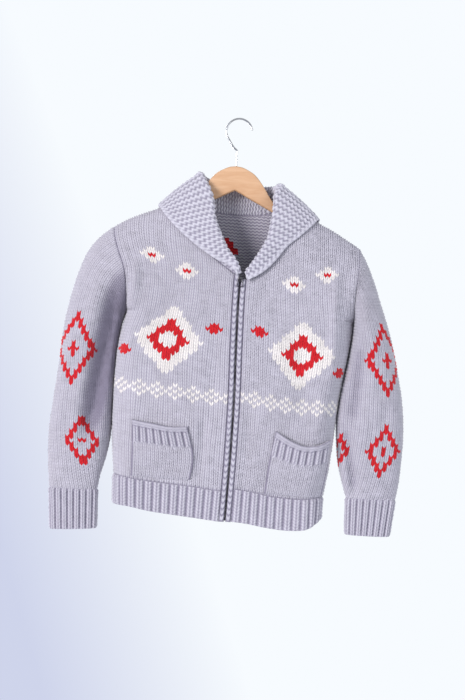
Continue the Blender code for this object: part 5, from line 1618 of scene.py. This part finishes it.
class CARDIGAN_OT_sleeves(bpy.types.Operator):
    """Knit the sleeves and their ribbed cuffs"""
    bl_idname = "cardigan.sleeves"
    bl_label = "Sleeves and Cuffs"

    def execute(self, context):
        for side in SIDES:
            sleeve(side)
            cuff(side)
        return {"FINISHED"}


class CARDIGAN_OT_hems(bpy.types.Operator):
    """Knit the three ribbed hem bands"""
    bl_idname = "cardigan.hems"
    bl_label = "Hem Bands"

    def execute(self, context):
        for part in PANELS:
            hem(part)
        return {"FINISHED"}


class CARDIGAN_OT_collar(bpy.types.Operator):
    """Knit the shawl collar"""
    bl_idname = "cardigan.collar"
    bl_label = "Collar"

    def execute(self, context):
        collar()
        return {"FINISHED"}


class CARDIGAN_OT_pockets(bpy.types.Operator):
    """Knit the two patch pockets"""
    bl_idname = "cardigan.pockets"
    bl_label = "Pockets"

    def execute(self, context):
        for side in SIDES:
            pocket(side)
        return {"FINISHED"}


class CARDIGAN_OT_zip(bpy.types.Operator):
    """Build the edge bands, tapes, teeth, slider and pull of the zip"""
    bl_idname = "cardigan.zip"
    bl_label = "Zip"

    def execute(self, context):
        for side in SIDES:
            zip_band(side)
        zip_tape(tape_weave())
        colour = context.scene.cardigan_fittings.zip_metal
        metal = worn_metal("zip_metal_worn", colour, (0.22, 0.215, 0.23), 0.25, 0.5, 0.9)
        zip_teeth(metal)
        pull(slider(metal), metal)
        return {"FINISHED"}


class CARDIGAN_OT_hanger(bpy.types.Operator):
    """Build the wooden arms and the wire hook"""
    bl_idname = "cardigan.hanger"
    bl_label = "Hanger"

    def execute(self, context):
        hanger_wood(varnished_wood())
        colour = context.scene.cardigan_fittings.wire
        hanger_hook(worn_metal("bright_wire", colour, (0.6, 0.6, 0.6), 0.08, 0.22, 1.0))
        return {"FINISHED"}


class CARDIGAN_OT_stage(bpy.types.Operator):
    """Set out the floor, lights and camera"""
    bl_idname = "cardigan.stage"
    bl_label = "Floor, Lights and Camera"

    def execute(self, context):
        stage_floor()
        stage_lights()
        stage_camera()
        return {"FINISHED"}


OPERATORS = (CARDIGAN_OT_panels, CARDIGAN_OT_sleeves, CARDIGAN_OT_hems, CARDIGAN_OT_collar,
             CARDIGAN_OT_pockets, CARDIGAN_OT_zip, CARDIGAN_OT_hanger, CARDIGAN_OT_stage)
SETTINGS = {"cardigan_knit": KnitSettings, "cardigan_yarns": YarnSettings,
            "cardigan_fittings": FittingSettings, "cardigan_stage": StageSettings}


class CARDIGAN_PT_panel(bpy.types.Panel):
    """Lists the pieces and their settings"""
    bl_idname = "CARDIGAN_PT_panel"
    bl_label = "Knitted Cardigan"
    bl_space_type = "VIEW_3D"
    bl_region_type = "UI"
    bl_category = "Cardigan"

    def draw(self, context):
        for group, kind in SETTINGS.items():
            column = self.layout.column(align=True)
            for name in kind.__annotations__:
                column.prop(getattr(context.scene, group), name)
        for operator in OPERATORS:
            self.layout.operator(operator.bl_idname)


def register():
    for kind in (*SETTINGS.values(), *OPERATORS, CARDIGAN_PT_panel):
        bpy.utils.register_class(kind)
    for name, kind in SETTINGS.items():
        setattr(bpy.types.Scene, name, PointerProperty(type=kind))


def unregister():
    for name in SETTINGS:
        delattr(bpy.types.Scene, name)
    for kind in (CARDIGAN_PT_panel, *reversed(OPERATORS), *reversed(SETTINGS.values())):
        bpy.utils.unregister_class(kind)


def main():
    """Runs every operator in order."""
    register()
    bpy.ops.cardigan.panels()
    bpy.ops.cardigan.sleeves()
    bpy.ops.cardigan.hems()
    bpy.ops.cardigan.collar()
    bpy.ops.cardigan.pockets()
    bpy.ops.cardigan.zip()
    bpy.ops.cardigan.hanger()
    bpy.ops.cardigan.stage()


if __name__ == "__main__":
    main()
